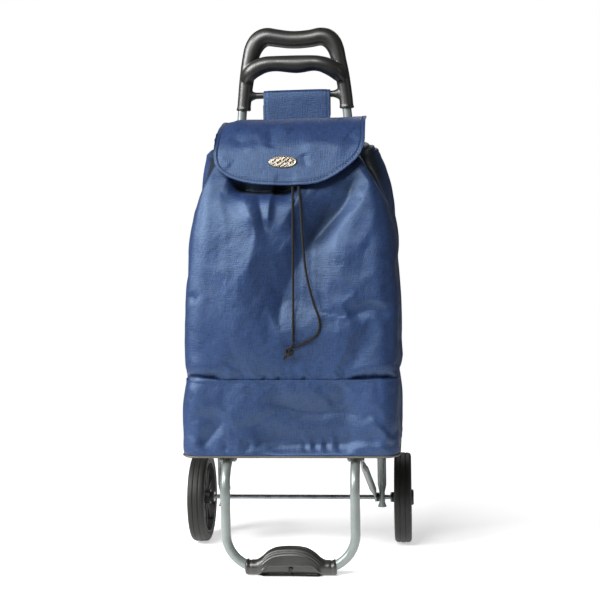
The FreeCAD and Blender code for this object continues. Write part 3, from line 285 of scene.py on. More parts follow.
# ---------------- materials
class Shader:
    """A node material round one Principled shader."""

    def __init__(self, name, **fixed):
        self.material = bpy.data.materials.new(name)
        self.material.use_nodes = True
        self.tree = self.material.node_tree
        self.tree.nodes.clear()
        out = self.tree.nodes.new("ShaderNodeOutputMaterial")
        self.surface = self.tree.nodes.new("ShaderNodeBsdfPrincipled")
        self.tree.links.new(self.surface.outputs[0], out.inputs[0])
        for key, value in fixed.items():
            self.surface.inputs[key.replace("_", " ")].default_value = value

    def node(self, kind, inputs=(), **settings):
        made = self.tree.nodes.new("ShaderNode" + kind)
        for key, value in settings.items():
            setattr(made, key, value)
        for key, value in dict(inputs).items():
            if isinstance(value, bpy.types.NodeSocket):
                self.tree.links.new(value, made.inputs[key])
            else:
                made.inputs[key].default_value = value
        return made

    def place_of(self, by_uv=False):
        if by_uv:
            return self.node("UVMap", uv_map=UV_NAME).outputs[0]
        return self.node("TexCoord").outputs["Object"]

    def noise(self, vector, scale, detail=3.0, rough=0.5):
        """Noise of one scale, or of three scales along X, Y and Z."""
        if isinstance(scale, tuple):
            vector, scale = self.node("Mapping", {"Vector": vector, "Scale": scale}).outputs[0], 1.0
        made = self.node("TexNoise", {"Vector": vector, "Scale": scale, "Detail": detail, "Roughness": rough})
        return made.outputs["Fac"]

    def math(self, operation, a, b=0.0, c=0.0):
        return self.node("Math", {0: a, 1: b, 2: c}, operation=operation).outputs[0]

    def weighted(self, a, share, b):
        """A share of a, and the rest of b."""
        return self.math("MULTIPLY_ADD", a, share, self.math("MULTIPLY", b, 1 - share))

    def spread(self, value, low, high, least, most, **settings):
        """A value between low and high, as one between least and most."""
        return self.node("MapRange", {0: value, 1: low, 2: high, 3: least, 4: most}, **settings).outputs[0]

    def ramp(self, factor, *stops):
        made = self.node("ValToRGB", {"Fac": factor})
        band = made.color_ramp
        while len(band.elements) < len(stops):
            band.elements.new(0.5)
        for element, (at, colour) in zip(band.elements, stops):
            element.position = at
            element.color = (*colour, 1)
        return made.outputs["Color"]

    def blend(self, factor, a, b):
        """Colour a turning to colour b as the factor goes from 0 to 1."""
        a, b = ((*colour, 1) if isinstance(colour, tuple) else colour for colour in (a, b))
        return self.node("Mix", {0: factor, 6: a, 7: b}, data_type="RGBA").outputs[2]

    def bump(self, height, distance, strength=1.0, normal=None):
        given = {"Height": height, "Distance": distance, "Strength": strength}
        if normal is not None:
            given["Normal"] = normal
        return self.node("Bump", given).outputs[0]

    def set(self, **linked):
        for key, value in linked.items():
            self.tree.links.new(value, self.surface.inputs[key.replace("_", " ")])
        return self.material


def tone(r, g, b):
    """An sRGB colour from 0 to 255 as the linear colour that a shader takes."""
    return tuple((c / 255 / 12.92 if c <= 10 else ((c / 255 + 0.055) / 1.055) ** 2.4) for c in (r, g, b))


def woven(name, dark, light, pitch, by_uv=True, rough=0.5, gloss=0.5, tint=(1, 1, 1), sheen=0.15):
    """Plain-weave synthetic cloth: yarns over and under, uneven yarns, slow random changes of tone, and painted shade
    in deep folds.
    """
    s = Shader(name, Roughness=rough, Specular_IOR_Level=gloss, Specular_Tint=(*tint, 1),
               Sheen_Weight=sheen, Sheen_Roughness=0.5)
    where = s.place_of(by_uv)
    parts = s.node("SeparateXYZ", {0: where})
    turn = math.pi / (pitch * MM)
    across = parts.outputs[0] if by_uv else s.math("ADD", parts.outputs[0], parts.outputs[1])
    along = parts.outputs[1] if by_uv else parts.outputs[2]
    warp = s.math("SINE", s.math("MULTIPLY", across, turn))
    weft = s.math("SINE", s.math("MULTIPLY", along, turn))
    over = s.math("MULTIPLY_ADD", s.math("MULTIPLY", warp, weft), 0.5, 0.5)
    slub_up = s.noise(where, (1400, 120, 1400), 2.0)
    slub_across = s.noise(where, (120, 1400, 1400), 2.0)
    thick_up = s.noise(where, (620, 70, 620), 2.0)
    thick_across = s.noise(where, (70, 620, 620), 2.0)
    slub = s.math("ADD", slub_up, slub_across)
    uneven = s.math("ADD", thick_up, thick_across)
    cloud = s.noise(where, 14.0, 4.0)
    slow = s.math("MULTIPLY_ADD", uneven, 0.55, s.math("MULTIPLY", cloud, 0.2))
    colour = s.ramp(s.math("MULTIPLY_ADD", slub, 0.25, slow), (0.7, dark), (1.0, light))
    colour = s.blend(0.18, colour, s.ramp(over, (0.1, dark), (0.9, light)))
    # painted shade: the cloth turns towards near black where the fold-shade attribute marks a deep fold
    deep = s.node("Attribute", attribute_name=PAINTED_FOLD_SHADE).outputs["Fac"]
    colour = s.blend(deep, colour, tuple(0.12 * c for c in dark))
    height = s.math("MULTIPLY_ADD", slub, 0.5, over)
    yarns = s.bump(uneven, 0.65 * MM, 0.6)
    return s.set(Base_Color=colour, Normal=s.bump(height, pitch * 0.12 * MM, 0.6, yarns))


def moulded(name, dark, light, rough, grain, depth, gloss=0.5):
    """Moulded plastic or rubber: a fine eroded grain, scuffs, and dull and shiny patches."""
    s = Shader(name, Specular_IOR_Level=gloss)
    where = s.place_of()
    fine = s.noise(where, 1000.0 / grain, 3.0, 0.6)
    patch = s.noise(where, 22.0, 5.0, 0.6)
    scuff = s.noise(where, (60, 220, 60), 6.0, 0.7)
    colour = s.ramp(s.weighted(fine, 0.25, patch), (0.3, dark), (0.75, light))
    worn = s.spread(s.weighted(scuff, 0.5, patch), 0.3, 0.7, rough - 0.07, rough + 0.1)
    bump = s.bump(fine, depth * MM, 0.5)
    return s.set(Base_Color=colour, Roughness=worn, Normal=s.bump(scuff, 0.05 * MM, 0.3, bump))


def painted(name, dark, light, metallic, rough):
    """Sprayed metal paint: a faint orange peel, flakes, and a few rubbed marks."""
    s = Shader(name, Metallic=metallic, Specular_IOR_Level=0.5, Coat_Weight=0.25, Coat_Roughness=0.2)
    where = s.place_of()
    peel = s.noise(where, 420.0, 2.0)
    flake = s.noise(where, 3800.0, 1.0)
    patch = s.noise(where, 16.0, 5.0, 0.65)
    colour = s.ramp(s.weighted(flake, 0.35, patch), (0.35, dark), (0.7, light))
    rubbed = s.spread(s.noise(where, (90, 90, 25), 6.0, 0.7), 0.35, 0.75, rough - 0.06, rough + 0.12)
    return s.set(Base_Color=colour, Roughness=rubbed, Normal=s.bump(peel, 0.05 * MM, 0.25))


def plated(name, dark, light, rough, streak=(1, 1, 1)):
    """Plated metal with fine turning or brushing marks and a little dulling."""
    s = Shader(name, Metallic=1.0)
    where = s.place_of()
    brushed = s.noise(where, tuple(900 * k for k in streak))
    dull = s.noise(where, 60.0, 5.0, 0.65)
    colour = s.ramp(s.weighted(brushed, 0.4, dull), (0.3, dark), (0.7, light))
    varied = s.spread(dull, 0.3, 0.7, rough - 0.08, rough + 0.12)
    return s.set(Base_Color=colour, Roughness=varied, Normal=s.bump(brushed, 0.03 * MM, 0.3))


BLUE_DARK, BLUE_LIGHT = tone(9, 23, 54), tone(33, 56, 102)
SHINE = (0.55, 0.76, 1.0)
fabric = woven("blue_oxford", BLUE_DARK, BLUE_LIGHT, 0.55, rough=0.5, gloss=0.85, tint=SHINE, sheen=0.03)
lining = woven("blue_lining", tone(40, 58, 96), tone(56, 78, 124), 0.55, rough=0.6, gloss=0.3, sheen=0.1)
thread = woven("blue_thread", tone(8, 13, 26), tone(26, 36, 62), 0.3, by_uv=False, rough=0.6)
webbing = woven("black_webbing", tone(22, 22, 24), tone(44, 44, 46), 1.1, by_uv=False, rough=0.7, gloss=0.3)
cord_cover = woven("dark_cord", tone(5, 4, 3), tone(20, 17, 13), 0.45, by_uv=False, rough=0.75, gloss=0.25)
handle_plastic = moulded("handle_plastic", tone(20, 21, 18), tone(34, 34, 30), 0.38, 0.5, 0.05, gloss=0.9)
rim_plastic = moulded("rim_plastic", tone(16, 16, 16), tone(27, 27, 26), 0.5, 0.6, 0.04)
rubber = moulded("tyre_rubber", tone(15, 15, 14), tone(31, 31, 29), 0.55, 0.8, 0.08, gloss=0.4)
paint = painted("silver_grey_paint", tone(116, 124, 122), tone(140, 148, 145), 0.35, 0.36)
zinc = plated("zinc", tone(92, 96, 100), tone(150, 154, 158), 0.3, (0.03, 1, 1))
champagne = plated("badge_plating", tone(84, 78, 70), tone(150, 142, 130), 0.3)
board_grey = moulded("board_edge", tone(84, 83, 78), tone(112, 110, 103), 0.4, 0.9, 0.06)
piping_grey = moulded("base_trim", tone(70, 69, 65), tone(110, 108, 101), 0.42, 0.6, 0.03)
piping_black = moulded("piping", tone(24, 23, 22), tone(40, 38, 36), 0.42, 0.6, 0.03)

for material, names in (
    (paint, ("rear_tube_left", "rear_tube_right", "front_loop", "brace_left", "brace_right", "crossbar_lower",
             "crossbar_upper")),
    (zinc, ("axle", "axle_washers", "loop_bolts", "loop_nuts", "brace_bolts", "brace_nuts", "crossbar_rivets",
            "handle_screws", "eyelets", "badge_backing")),
    (rubber, ("tyre_left", "tyre_right")),
    (rim_plastic, ("rim_left", "rim_right", "axle_spacers", "axle_caps", "foot_screw")),
    (board_grey, ("base_board",)),
    (piping_grey, ("base_piping",)),
    (piping_black, ("sleeve_hook_tape", "sleeve_loop_tape")),
    (webbing, ("tube_strap_left", "tube_strap_right")),
    (cord_cover, ("drawstring_casing",)),
):
    for node_name in names:
        mesh = NODES[node_name].data
        mesh.materials.clear()
        mesh.materials.append(material)
        mesh.polygons.foreach_set("material_index", [0] * len(mesh.polygons))


# ---------------- drawstring
EXIT_Y, EXIT_Z = -46.6, 725
LEFT_STRAND = [
    (9, EXIT_Y, EXIT_Z), (9, EXIT_Y - 9, EXIT_Z), (9.4, EXIT_Y - 19, EXIT_Z - 10), (10.5, -85, 693),
    (11.6, -101, 655), (12, -113, 604), (12.3, -123, 548), (12, -129.5, 489), (11.4, -132, 432),
    (10, -133, 386)]
RIGHT_STRAND = [
    (22, EXIT_Y, EXIT_Z), (22, EXIT_Y - 9, EXIT_Z), (21.4, EXIT_Y - 19, EXIT_Z - 10), (20, -85, 693),
    (19.6, -101, 655), (25, -112, 608), (28, -123, 552), (32, -129.5, 501), (43, -131.5, 452),
    (54.5, -132.5, 423), (53.5, -133, 402), (40, -133.5, 389), (22.6, -133.5, 382.6)]
CORD_THICK = 4.0


def strand_line(name, points):
    """The smooth line that a strand hangs on, as points in metres."""
    data = bpy.data.curves.new(name, "CURVE")
    data.dimensions = "3D"
    data.resolution_u = 24
    spline = data.splines.new("NURBS")
    spline.points.add(len(points) - 1)
    for point, place_mm in zip(spline.points, points):
        point.co = (*[v * MM for v in place_mm], 1)
    spline.order_u = 3
    spline.use_endpoint_u = True
    holder = new_object(name, data)
    bpy.context.view_layer.update()
    mesh = bpy.data.meshes.new_from_object(holder.evaluated_get(bpy.context.evaluated_depsgraph_get()))
    line = np.array([v.co for v in mesh.vertices], float)
    bpy.data.objects.remove(holder)
    return line


def frames_along(line):
    """Unit directions across a line that don't twist along it."""
    ahead = np.gradient(line, axis=0)
    ahead /= np.linalg.norm(ahead, axis=1, keepdims=True)
    side = np.zeros_like(line)
    seed_side = np.cross(ahead[0], (0.0, 0.3, 1.0))
    for i, direction in enumerate(ahead):
        seed_side = seed_side - direction * (seed_side @ direction)
        seed_side /= np.linalg.norm(seed_side)
        side[i] = seed_side
    return side, np.cross(ahead, side)


def respaced(line, step):
    """Points a step apart along a line, and how far along it they are."""
    far = lengths_along(line)
    want = np.linspace(0, far[-1], max(int(far[-1] / step), 4))
    return np.stack([np.interp(want, far, line[:, k]) for k in range(3)], axis=1), want


BRAID_STEP, BRAID_TURN = 0.0005, 0.0085      # metres: from ring to ring, and for one turn of a strand


def braided(name, line, thick):
    """A braided cord along a line in metres, with rounded ends: two sets of strands that cross round it."""
    line, far = respaced(line, BRAID_STEP)
    side, across = frames_along(line)
    sides = 20
    angle = full_turn(sides)
    climb = far[:, None] * 2 * math.pi / BRAID_TURN
    weave = np.maximum(np.abs(np.sin(4 * angle + climb)), np.abs(np.sin(4 * angle - climb)))
    radius = thick / 2 * MM * (0.94 + 0.09 * weave)
    near_end = np.minimum(far, far[-1] - far)[:, None] / (thick / 2 * MM)
    radius = radius * np.sqrt(np.clip(1 - (1 - np.clip(near_end, 0.02, 1)) ** 2, 0, 1))
    ring = side[:, None] * np.cos(angle)[:, None] + across[:, None] * np.sin(angle)[:, None]
    points = line[:, None] + ring * radius[..., None]
    return mesh_object(name, points, tube_faces(len(line), sides)), line


KNOT_PLACE = (4.0, -135.0, 371.0)


def make_knot():
    """Both strands tied together in an overhand knot, with two short cut tails."""
    turn = np.linspace(-2.5, 2.5, 90)
    loop = np.stack([4.6 * np.sin(turn * 1.25) * (1.1 - 0.1 * turn ** 2 / 6), -2.6 * np.cos(turn * 2.5) * 0.9,
                     5.5 * np.cos(turn * 1.25) * 0.9 - turn * 0.6], axis=1)
    top = np.array([[6.5, 1.4, 16], [5.5, 1.0, 11]])
    tail = np.array([[-6.0, 0.5, -7], [-9.0, 0.2, -11.5], [-10.5, 0.8, -13]])
    first = curve_through(np.vstack([top, loop[4:-4:9], tail]), 120)
    second = curve_through(
        [(19.2, 1.5, 12.4), (14, 1.6, 9), (9, 1.6, 7), (3, 1, 5.5), (-4.2, -1.6, 3.2), (-4.6, -3.2, -2.5),
         (1.2, -3.6, -5), (4.6, -1, -1.5), (1.5, 2, 1), (-4, 1.2, -5), (-6.2, 0.9, -11.5)], 120)
    return joined("cord_knot", [braided(f"knot_part_{k}", (line + KNOT_PLACE) * MM, CORD_THICK * 0.92)[0]
                                for k, line in enumerate((first, second))])


knot = place(make_knot(), "frame", "cord", cord_cover, "drawstring_knot")
for side_name, route, knotted in (("left", LEFT_STRAND, [knot]), ("right", RIGHT_STRAND, [])):
    strand, path = braided(f"cord_{side_name}", strand_line("route", route), CORD_THICK)
    place(strand, "frame", "cord", cord_cover, f"drawstring_{side_name}")


# ---------------- bag
BAND_LOW, BAND_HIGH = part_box("lower_band")
SEAM_Z = BAND_HIGH.z / MM
MOUTH_LOW, MOUTH_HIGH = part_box("mouth_casing")
BACK_Y = BAND_HIGH.y / MM
# height, half width to the left, half width to the right, front, corner radius
BAG_SHAPE = ((322, 171, 179.5, -124.5, 30), (345, 173, 180, -127, 32), (390, 172, 180, -127, 34),
             (450, 170, 179.5, -125, 36), (505, 165, 177, -121, 36), (560, 158, 172, -114, 34),
             (600, 150, 164, -105, 28), (625, 144, 155, -98, 20), (645, 137, 145, -92, 14),
             (662, 129, 136, -84, 11), (678, 122, 127, -75, 10), (692, 116, 119, -66, 10),
             (706, 113, 114, -55, 14), (717, 114, 114, -45, 28))
BAND_SHAPE = ((190, 180, 180, -127, 28), (205, 180.5, 180.5, -127.4, 28), (230, 180, 180.5, -127.6, 29),
              (256, 180.5, 180, -127.6, 30), (283, 179, 180, -127.6, 30), (310, 175, 180, -127.2, 30),
              (324, 172.5, 179.5, -126.2, 30))
# height, and how far the sides swell out behind the fold
GUSSET_BELLY = ((585, 2), (611, 8), (640, 17), (660, 23), (685, 29), (700, 24), (712, 12), (720, 2))
FRONT_COLUMNS, SIDE_COLUMNS, BACK_COLUMNS, CORNER_COLUMNS = 140, 60, 60, 14
EASE_OVER = 14


def straight(a, b, count):
    """Points of a ring from a up to b."""
    return [(a[0] + (b[0] - a[0]) * t, a[1] + (b[1] - a[1]) * t) for t in np.arange(count) / count]


def rounded(cx, cy, radius, degrees):
    """Points of a ring's corner, a quarter turn from an angle on."""
    turns = [math.radians(degrees + 90 * t) for t in np.arange(CORNER_COLUMNS) / CORNER_COLUMNS]
    return [(cx + radius * math.cos(turn), cy + radius * math.sin(turn)) for turn in turns]


def around(left, right, front, back, corner):
    """One ring of the bag seen from above, anticlockwise from the back's middle."""
    west, east, south, north = -left + corner, right - corner, front + corner, back - corner
    return np.array(
        straight((0, back), (west, back), BACK_COLUMNS // 2) + rounded(west, north, corner, 90)
        + straight((-left, north), (-left, south), SIDE_COLUMNS) + rounded(west, south, corner, 180)
        + straight((west, front), (east, front), FRONT_COLUMNS) + rounded(east, south, corner, 270)
        + straight((right, south), (right, north), SIDE_COLUMNS) + rounded(east, north, corner, 0)
        + straight((east, back), (0, back), BACK_COLUMNS // 2))


def lofted(shape, low, high, rows):
    """A grid of rings between two heights, with the shape's changes eased over EASE_OVER."""
    shape = np.array(shape, float)
    heights = np.linspace(low, high, rows)
    fine = np.linspace(low - 40, high + 40, rows * 2)
    width = EASE_OVER / (fine[1] - fine[0])
    kernel = bell(np.arange(-int(3 * width), int(3 * width) + 1) / width)
    inner = slice(len(kernel) // 2, -(len(kernel) // 2))
    eased = []
    for k in range(1, 5):
        slope_low = (shape[1, k] - shape[0, k]) / (shape[1, 0] - shape[0, 0])
        slope_high = (shape[-1, k] - shape[-2, k]) / (shape[-1, 0] - shape[-2, 0])
        value = np.interp(fine, shape[:, 0], shape[:, k])
        value = np.where(fine < shape[0, 0], shape[0, k] + (fine - shape[0, 0]) * slope_low, value)
        value = np.where(fine > shape[-1, 0], shape[-1, k] + (fine - shape[-1, 0]) * slope_high, value)
        value = np.convolve(value, kernel / kernel.sum(), mode="same")
        eased.append(np.interp(heights, fine[inner], value[inner]))
    rings = []
    for z, left, right, front, corner in zip(heights, *eased):
        ring = around(left, right, front, BACK_Y, corner)
        rings.append(np.column_stack([ring, np.full(len(ring), z)]))
    return np.array(rings)


# Folds of the front: line of (x, z), depth (out is positive), and width left and right of the line's travel
FRONT_FOLDS = (
    # broad forms: ridge left of the middle, hollow right of it, ridge on the right
    (((-56, 660), (-60, 560), (-76, 470), (-86, 380), (-90, 330)), 9.0, 52, 40),
    (((96, 650), (50, 568), (24, 520), (-6, 460), (-14, 390)), -16.0, 60, 26),
    (((134, 640), (104, 570), (92, 500), (86, 430), (76, 340)), 5.0, 26, 44),
    # sharp folds from the flap's corners
    (((-111, 660), (-105, 602), (-98, 570), (-96, 514), (-98, 440)), 1.8, 9, 18),
    (((-136, 640), (-128, 590), (-122, 540), (-108, 470)), 1.4, 10, 18),
    (((-78, 660), (-61, 596), (-48, 566), (-54, 526), (-74, 470)), 4.2, 15, 10),
    (((-50, 640), (-40, 600), (-31, 556)), -4.5, 13, 8),
    (((-22, 660), (-26, 600), (-29, 562)), 7.5, 6, 34),
    (((30, 640), (12, 600), (-18, 556)), 3.5, 8, 18),
    (((118, 670), (94, 610), (60, 570), (30, 530)), -12.0, 13, 24),
    (((140, 660), (123, 607), (97, 584), (83, 552), (84, 500)), 3.4, 18, 11),
    (((152, 610), (133, 559), (106, 526)), 2.0, 11, 18),
    (((142, 570), (126, 520), (120, 480)), -1.7, 15, 12),
    (((100, 420), (118, 432), (136, 437), (154, 432), (168, 420)), -5.0, 16, 9),
    (((100, 435), (118, 449), (136, 454), (154, 449), (170, 433)), 2.2, 12, 5),
    (((168, 534), (164, 514)), -2.0, 9, 10),
    (((-160, 466), (-148, 452)), -2.4, 8, 9),
    (((140, 428), (116, 375), (106, 328)), -2.7, 20, 11),
    (((116, 430), (94, 372), (88, 330)), 1.7, 11, 15),
    (((-100, 650), (-48, 636), (26, 640)), -30.0, 18, 14),
    (((-172, 348), (-140, 348), (-104, 336)), 2.7, 15, 14),
    (((180, 346), (140, 346), (92, 334)), 3.1, 15, 14),
    (((-180, 327), (-140, 326), (-106, 321)), -7.0, 6, 7),
    (((182, 323), (140, 323), (94, 320)), -8.0, 6, 7),
    (((-90, 345), (-100, 326)), 1.4, 8, 9),
    (((-38, 332), (-40, 316)), -2.4, 4, 4),
    (((-14, 330), (-14, 315)), -2.4, 3, 4),
    (((27, 331), (28, 315)), -2.4, 4, 3),
    (((70, 340), (84, 322)), 1.4, 8, 8),
)
BAND_FOLDS = (
    (((-176, 312), (-150, 300), (-130, 262)), 3.0, 14, 18),
    (((-150, 262), (-150, 230), (-160, 206)), 3.0, 20, 16),
    (((-100, 270), (-124, 238), (-150, 206)), -7.0, 10, 24),
    (((-60, 306), (-92, 276), (-112, 240)), 2.5, 16, 14),
    (((-64, 262), (-50, 232), (-44, 205)), -6.0, 34, 24),
    (((-40, 292), (30, 268), (90, 270), (134, 256)), -8.0, 24, 16),
    (((-62, 211), (40, 215), (128, 217)), -12.0, 50, 15),
    (((102, 310), (84, 292), (62, 282)), -4.0, 8, 12),
    (((60, 300), (20, 306), (-20, 300)), 3.0, 14, 18),
    (((120, 304), (150, 276), (174, 230)), 3.0, 16, 16),
    (((128, 264), (150, 242), (172, 214)), 4.5, 6, 14),
    (((92, 210), (128, 211), (168, 209)), 2.6, 7, 9),
    (((86, 221), (120, 224), (154, 224)), -2.6, 8, 13),
    (((26, 222), (24, 202)), -1.6, 4, 4),
    (((34, 226), (33, 202)), 1.4, 4, 4),
    (((43, 220), (42, 202)), -1.5, 4, 4),
    (((52, 228), (51, 202)), 1.5, 4, 5),
    (((61, 222), (60, 202)), -1.4, 4, 4),
    (((72, 230), (69, 202)), 1.6, 5, 5),
    (((82, 222), (80, 202)), -1.4, 5, 4),
    (((-104, 226), (-106, 202)), -2.0, 5, 5),
    (((-84, 226), (-86, 202)), 1.6, 6, 5),
    (((-66, 224), (-68, 202)), -1.6, 5, 6),
)
# Folds of the sides: line of (y, z), the same for both sides
SIDE_FOLDS = (
    (((-40, 700), (-60, 640), (-70, 560), (-74, 480)), 4.0, 16, 14),
    (((0, 706), (-12, 640), (-24, 560)), -5.0, 14, 16),
    (((34, 706), (26, 640), (22, 570), (26, 500)), 4.5, 14, 14),
    (((-90, 520), (-40, 470), (10, 450)), -3.0, 18, 16),
    (((-70, 420), (-30, 400), (0, 405)), 2.0, 18, 16),
    (((-100, 345), (-30, 350), (50, 344)), 2.5, 12, 12),
    (((-100, 326), (-30, 325), (50, 325)), -3.0, 6, 6),
    (((10, 380), (-20, 350), (-34, 330)), -3.5, 10, 12),
)
BAND_SIDE_FOLDS = (
    (((-90, 300), (-40, 262), (0, 214)), -3.5, 18, 16),
    (((50, 310), (20, 270), (6, 214)), 3.0, 16, 18),
    (((-70, 214), (-20, 218), (40, 213)), 2.5, 8, 9),
)
BACK_FOLDS = (
    (((-120, 700), (-128, 600), (-130, 480), (-136, 360)), -2.5, 20, 20),
    (((110, 700), (124, 600), (126, 470), (120, 350)), -2.5, 20, 20),
    (((-60, 560), (0, 540), (70, 556)), -2.0, 18, 18),
    (((-90, 420), (-10, 400), (80, 424)), -2.5, 20, 20),
)


def folded(grid, normals, front=(), sides=(), back=()):
    """How far each point moves out for the folds of the front, sides and back."""
    facing_front = smooth((-normals[..., 1] - 0.15) / 0.5)
    facing_side = smooth((np.abs(normals[..., 0]) - 0.45) / 0.4)
    facing_back = smooth((normals[..., 1] - 0.3) / 0.5)
    out = np.zeros(grid.shape[:2])
    for folds, axes, weight in ((front, (0, 2), facing_front), (sides, (1, 2), facing_side),
                                (back, (0, 2), facing_back)):
        for line, depth, left, right in folds:
            out += stroke(grid[..., axes], line, depth, left, right) * weight
    return out


def settle(obj, rows, cap, growth, frames=12):
    """Lets the cloth, cut a little too large, settle into creases. The two rows at each end of the grid are
    sewn down. No point ends further than cap millimetres from where it was."""
    rest = np.array([v.co for v in obj.data.vertices], float)
    level = np.repeat(np.arange(rows), len(rest) // rows)
    group = obj.vertex_groups.new(name="sewn")
    group.add(np.flatnonzero((level < 2) | (level > rows - 3)).tolist(), 1.0, "REPLACE")
    cloth = obj.modifiers.new("cloth", "CLOTH")
    cloth.settings.vertex_group_mass = "sewn"
    cloth.settings.quality = 5
    cloth.settings.mass = 0.25
    cloth.settings.tension_stiffness = 25
    cloth.settings.compression_stiffness = 25
    cloth.settings.shear_stiffness = 8
    cloth.settings.bending_stiffness = 5.0
    cloth.settings.shrink_min = -growth
    cloth.settings.effector_weights.gravity = 0.0
    cloth.collision_settings.use_collision = False
    scene = bpy.context.scene
    for number in range(1, frames + 1):
        scene.frame_set(number)
    seen = obj.evaluated_get(bpy.context.evaluated_depsgraph_get())
    moved = np.array([v.co for v in seen.data.vertices], float)
    obj.modifiers.clear()
    scene.frame_set(1)
    shift = moved - rest
    far = np.linalg.norm(shift, axis=1, keepdims=True)
    shift *= np.minimum(1, cap * MM / np.maximum(far, 1e-9))
    obj.data.vertices.foreach_set("co", (rest + shift).astype(np.float32).ravel())
    obj.data.update()


def make_bag():
    """The upper bag: front, sides and back in one sewn shell, gathered at the top."""
    rows = 150
    grid = lofted(BAG_SHAPE, SEAM_Z - 1.5, MOUTH_LOW.z / MM + 2, rows)
    lengths = grid_lengths(grid)
    normals = grid_normals(grid, closed=True)
    x, y, z = (grid[..., k] for k in range(3))
    up = (z - SEAM_Z) / (z.max() - SEAM_Z)
    out = folded(grid, normals, FRONT_FOLDS, SIDE_FOLDS, BACK_FOLDS)
    facing_front = smooth((-normals[..., 1] - 0.3) / 0.4)
    facing_side = smooth((np.abs(normals[..., 0]) - 0.5) / 0.4)
    crown = 4 * facing_front * np.cos(x / 185 * math.pi / 2) + 2 * facing_side
    out += np.sin(math.pi * np.clip(up, 0, 1)) * crown
    # the gusset is folded in behind the front's edges and bellies out behind the fold
    side = smooth((np.abs(normals[..., 0]) - 0.4) / 0.4)
    shape = np.array(BAG_SHAPE)
    fold_y = np.interp(z, shape[:, 0], shape[:, 3]) + np.interp(z, (600, 660, 717), (40, 24, 22))
    out -= 27.0 * side * bell((y - fold_y) / 11) * smooth((z - 596) / 60)
    belly = np.array(GUSSET_BELLY)
    out += np.interp(z, belly[:, 0], belly[:, 1]) * side * bell((y - 16) / 34)
    out += 1.8 * ripple(grid, 60, 1) + 0.7 * ripple(grid, 22, 2)
    # gathers below the hem
    across = lengths[..., 0]
    gather = np.sin(across / 5.2 + 2.2 * ripple(grid * (1, 1, 0), 40, 5)) * smooth((up - 0.86) / 0.14)
    out += 1.9 * gather
    out = np.where(normals[..., 1] > 0.8, np.minimum(out, 1.5), out)
    grid = grid + normals * out[..., None]
    bag = mesh_object("bag_upper", grid * MM, grid_faces(rows, grid.shape[1], closed=True), lengths * MM)
    # painted shade: deep folds, the hollow under the flap's edge and the gusset's crevice behind the front's fold are
    # marked for the cloth to be painted darker there
    shade_behind_fold = smooth((6 - y) / 14) * side * smooth((z - 622) / 40)
    shade_under_flap = 0.95 * smooth((-out - 4) / 12) * smooth((z - 622) / 12)
    paint_fold_shade(bag, np.maximum(0.5 * smooth((-out - 4) / 18), np.maximum(shade_under_flap, 0.97 * shade_behind_fold)))
    settle(bag, rows, 2.0, 0.005)
    return thicken(bag, 1.2)


def make_band():
    """The band below the seam, down to the base board."""
    rows = 40
    grid = lofted(BAND_SHAPE, BAND_LOW.z / MM + 0.4, SEAM_Z + 0.8, rows)
    lengths = grid_lengths(grid)
    normals = grid_normals(grid, closed=True)
    z = grid[..., 2]
    out = folded(grid, normals, BAND_FOLDS, BAND_SIDE_FOLDS)
    out += 1.2 * ripple(grid, 50, 3) + 0.5 * ripple(grid, 18, 4)
    out *= smooth((z - z.min()) / 9) * 0.85 + 0.15
    out *= smooth((SEAM_Z + 2 - z) / 10) * 0.8 + 0.2
    out += 1.1 * bell((z - SEAM_Z - 0.5) / 2.5)
    out = np.where(normals[..., 1] > 0.8, np.minimum(out, 1.0), out)
    grid = grid + normals * out[..., None]
    band = mesh_object("bag_lower", grid * MM, grid_faces(rows, grid.shape[1], closed=True), lengths * MM)
    # painted shade: deep folds of the band are marked for the cloth to be painted a little darker there
    paint_fold_shade(band, 0.25 * smooth((-out - 1) / 14))
    settle(band, rows, 1.5, 0.003)
    return thicken(band, 1.2)


def make_floor_cloth():
    """The bag's floor: cloth over the board, cut to its rounded corners, with a few shallow dents."""
    low, high = (np.array(c / MM, float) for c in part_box("bag_floor"))
    rows, columns, corner = 44, 76, 24
    middle, half = (low + high) / 2, (high - low) / 2
    v, u = np.meshgrid(np.linspace(0, 1, rows), np.linspace(0, 1, columns), indexing="ij")
    wide, deep = high[0] - low[0], high[1] - low[1]
    grid = np.stack([low[0] + wide * u, low[1] + deep * v, high[2] + 0 * u], axis=2)
    edge = np.minimum(np.minimum(u, 1 - u) * wide, np.minimum(v, 1 - v) * deep)
    beyond = [np.abs(grid[..., k] - middle[k]) - (half[k] - corner) for k in (0, 1)]
    in_corner = (beyond[0] > 0) & (beyond[1] > 0)
    pull = np.minimum(1, corner / np.maximum(np.hypot(*beyond), 1e-6))
    for k in (0, 1):
        pulled = middle[k] + np.sign(grid[..., k] - middle[k]) * (half[k] - corner + beyond[k] * pull)
        grid[..., k] = np.where(in_corner, pulled, grid[..., k])
    grid[..., 2] += 0.6 * ripple(grid, 45, 8) * smooth(edge / 12) - 0.3
    made = mesh_object("bag_floor_cloth", grid * MM, grid_faces(rows, columns), grid[..., :2] * MM)
    return thicken(made, 1.2, 0)


place(make_bag(), "frame", "fabric_blue", fabric, "bag_front", "bag_side_left", "bag_side_right", "bag_back")
place(make_band(), "frame", "fabric_blue", fabric, "lower_band")
place(make_floor_cloth(), "frame", "fabric_blue", lining, "bag_floor")


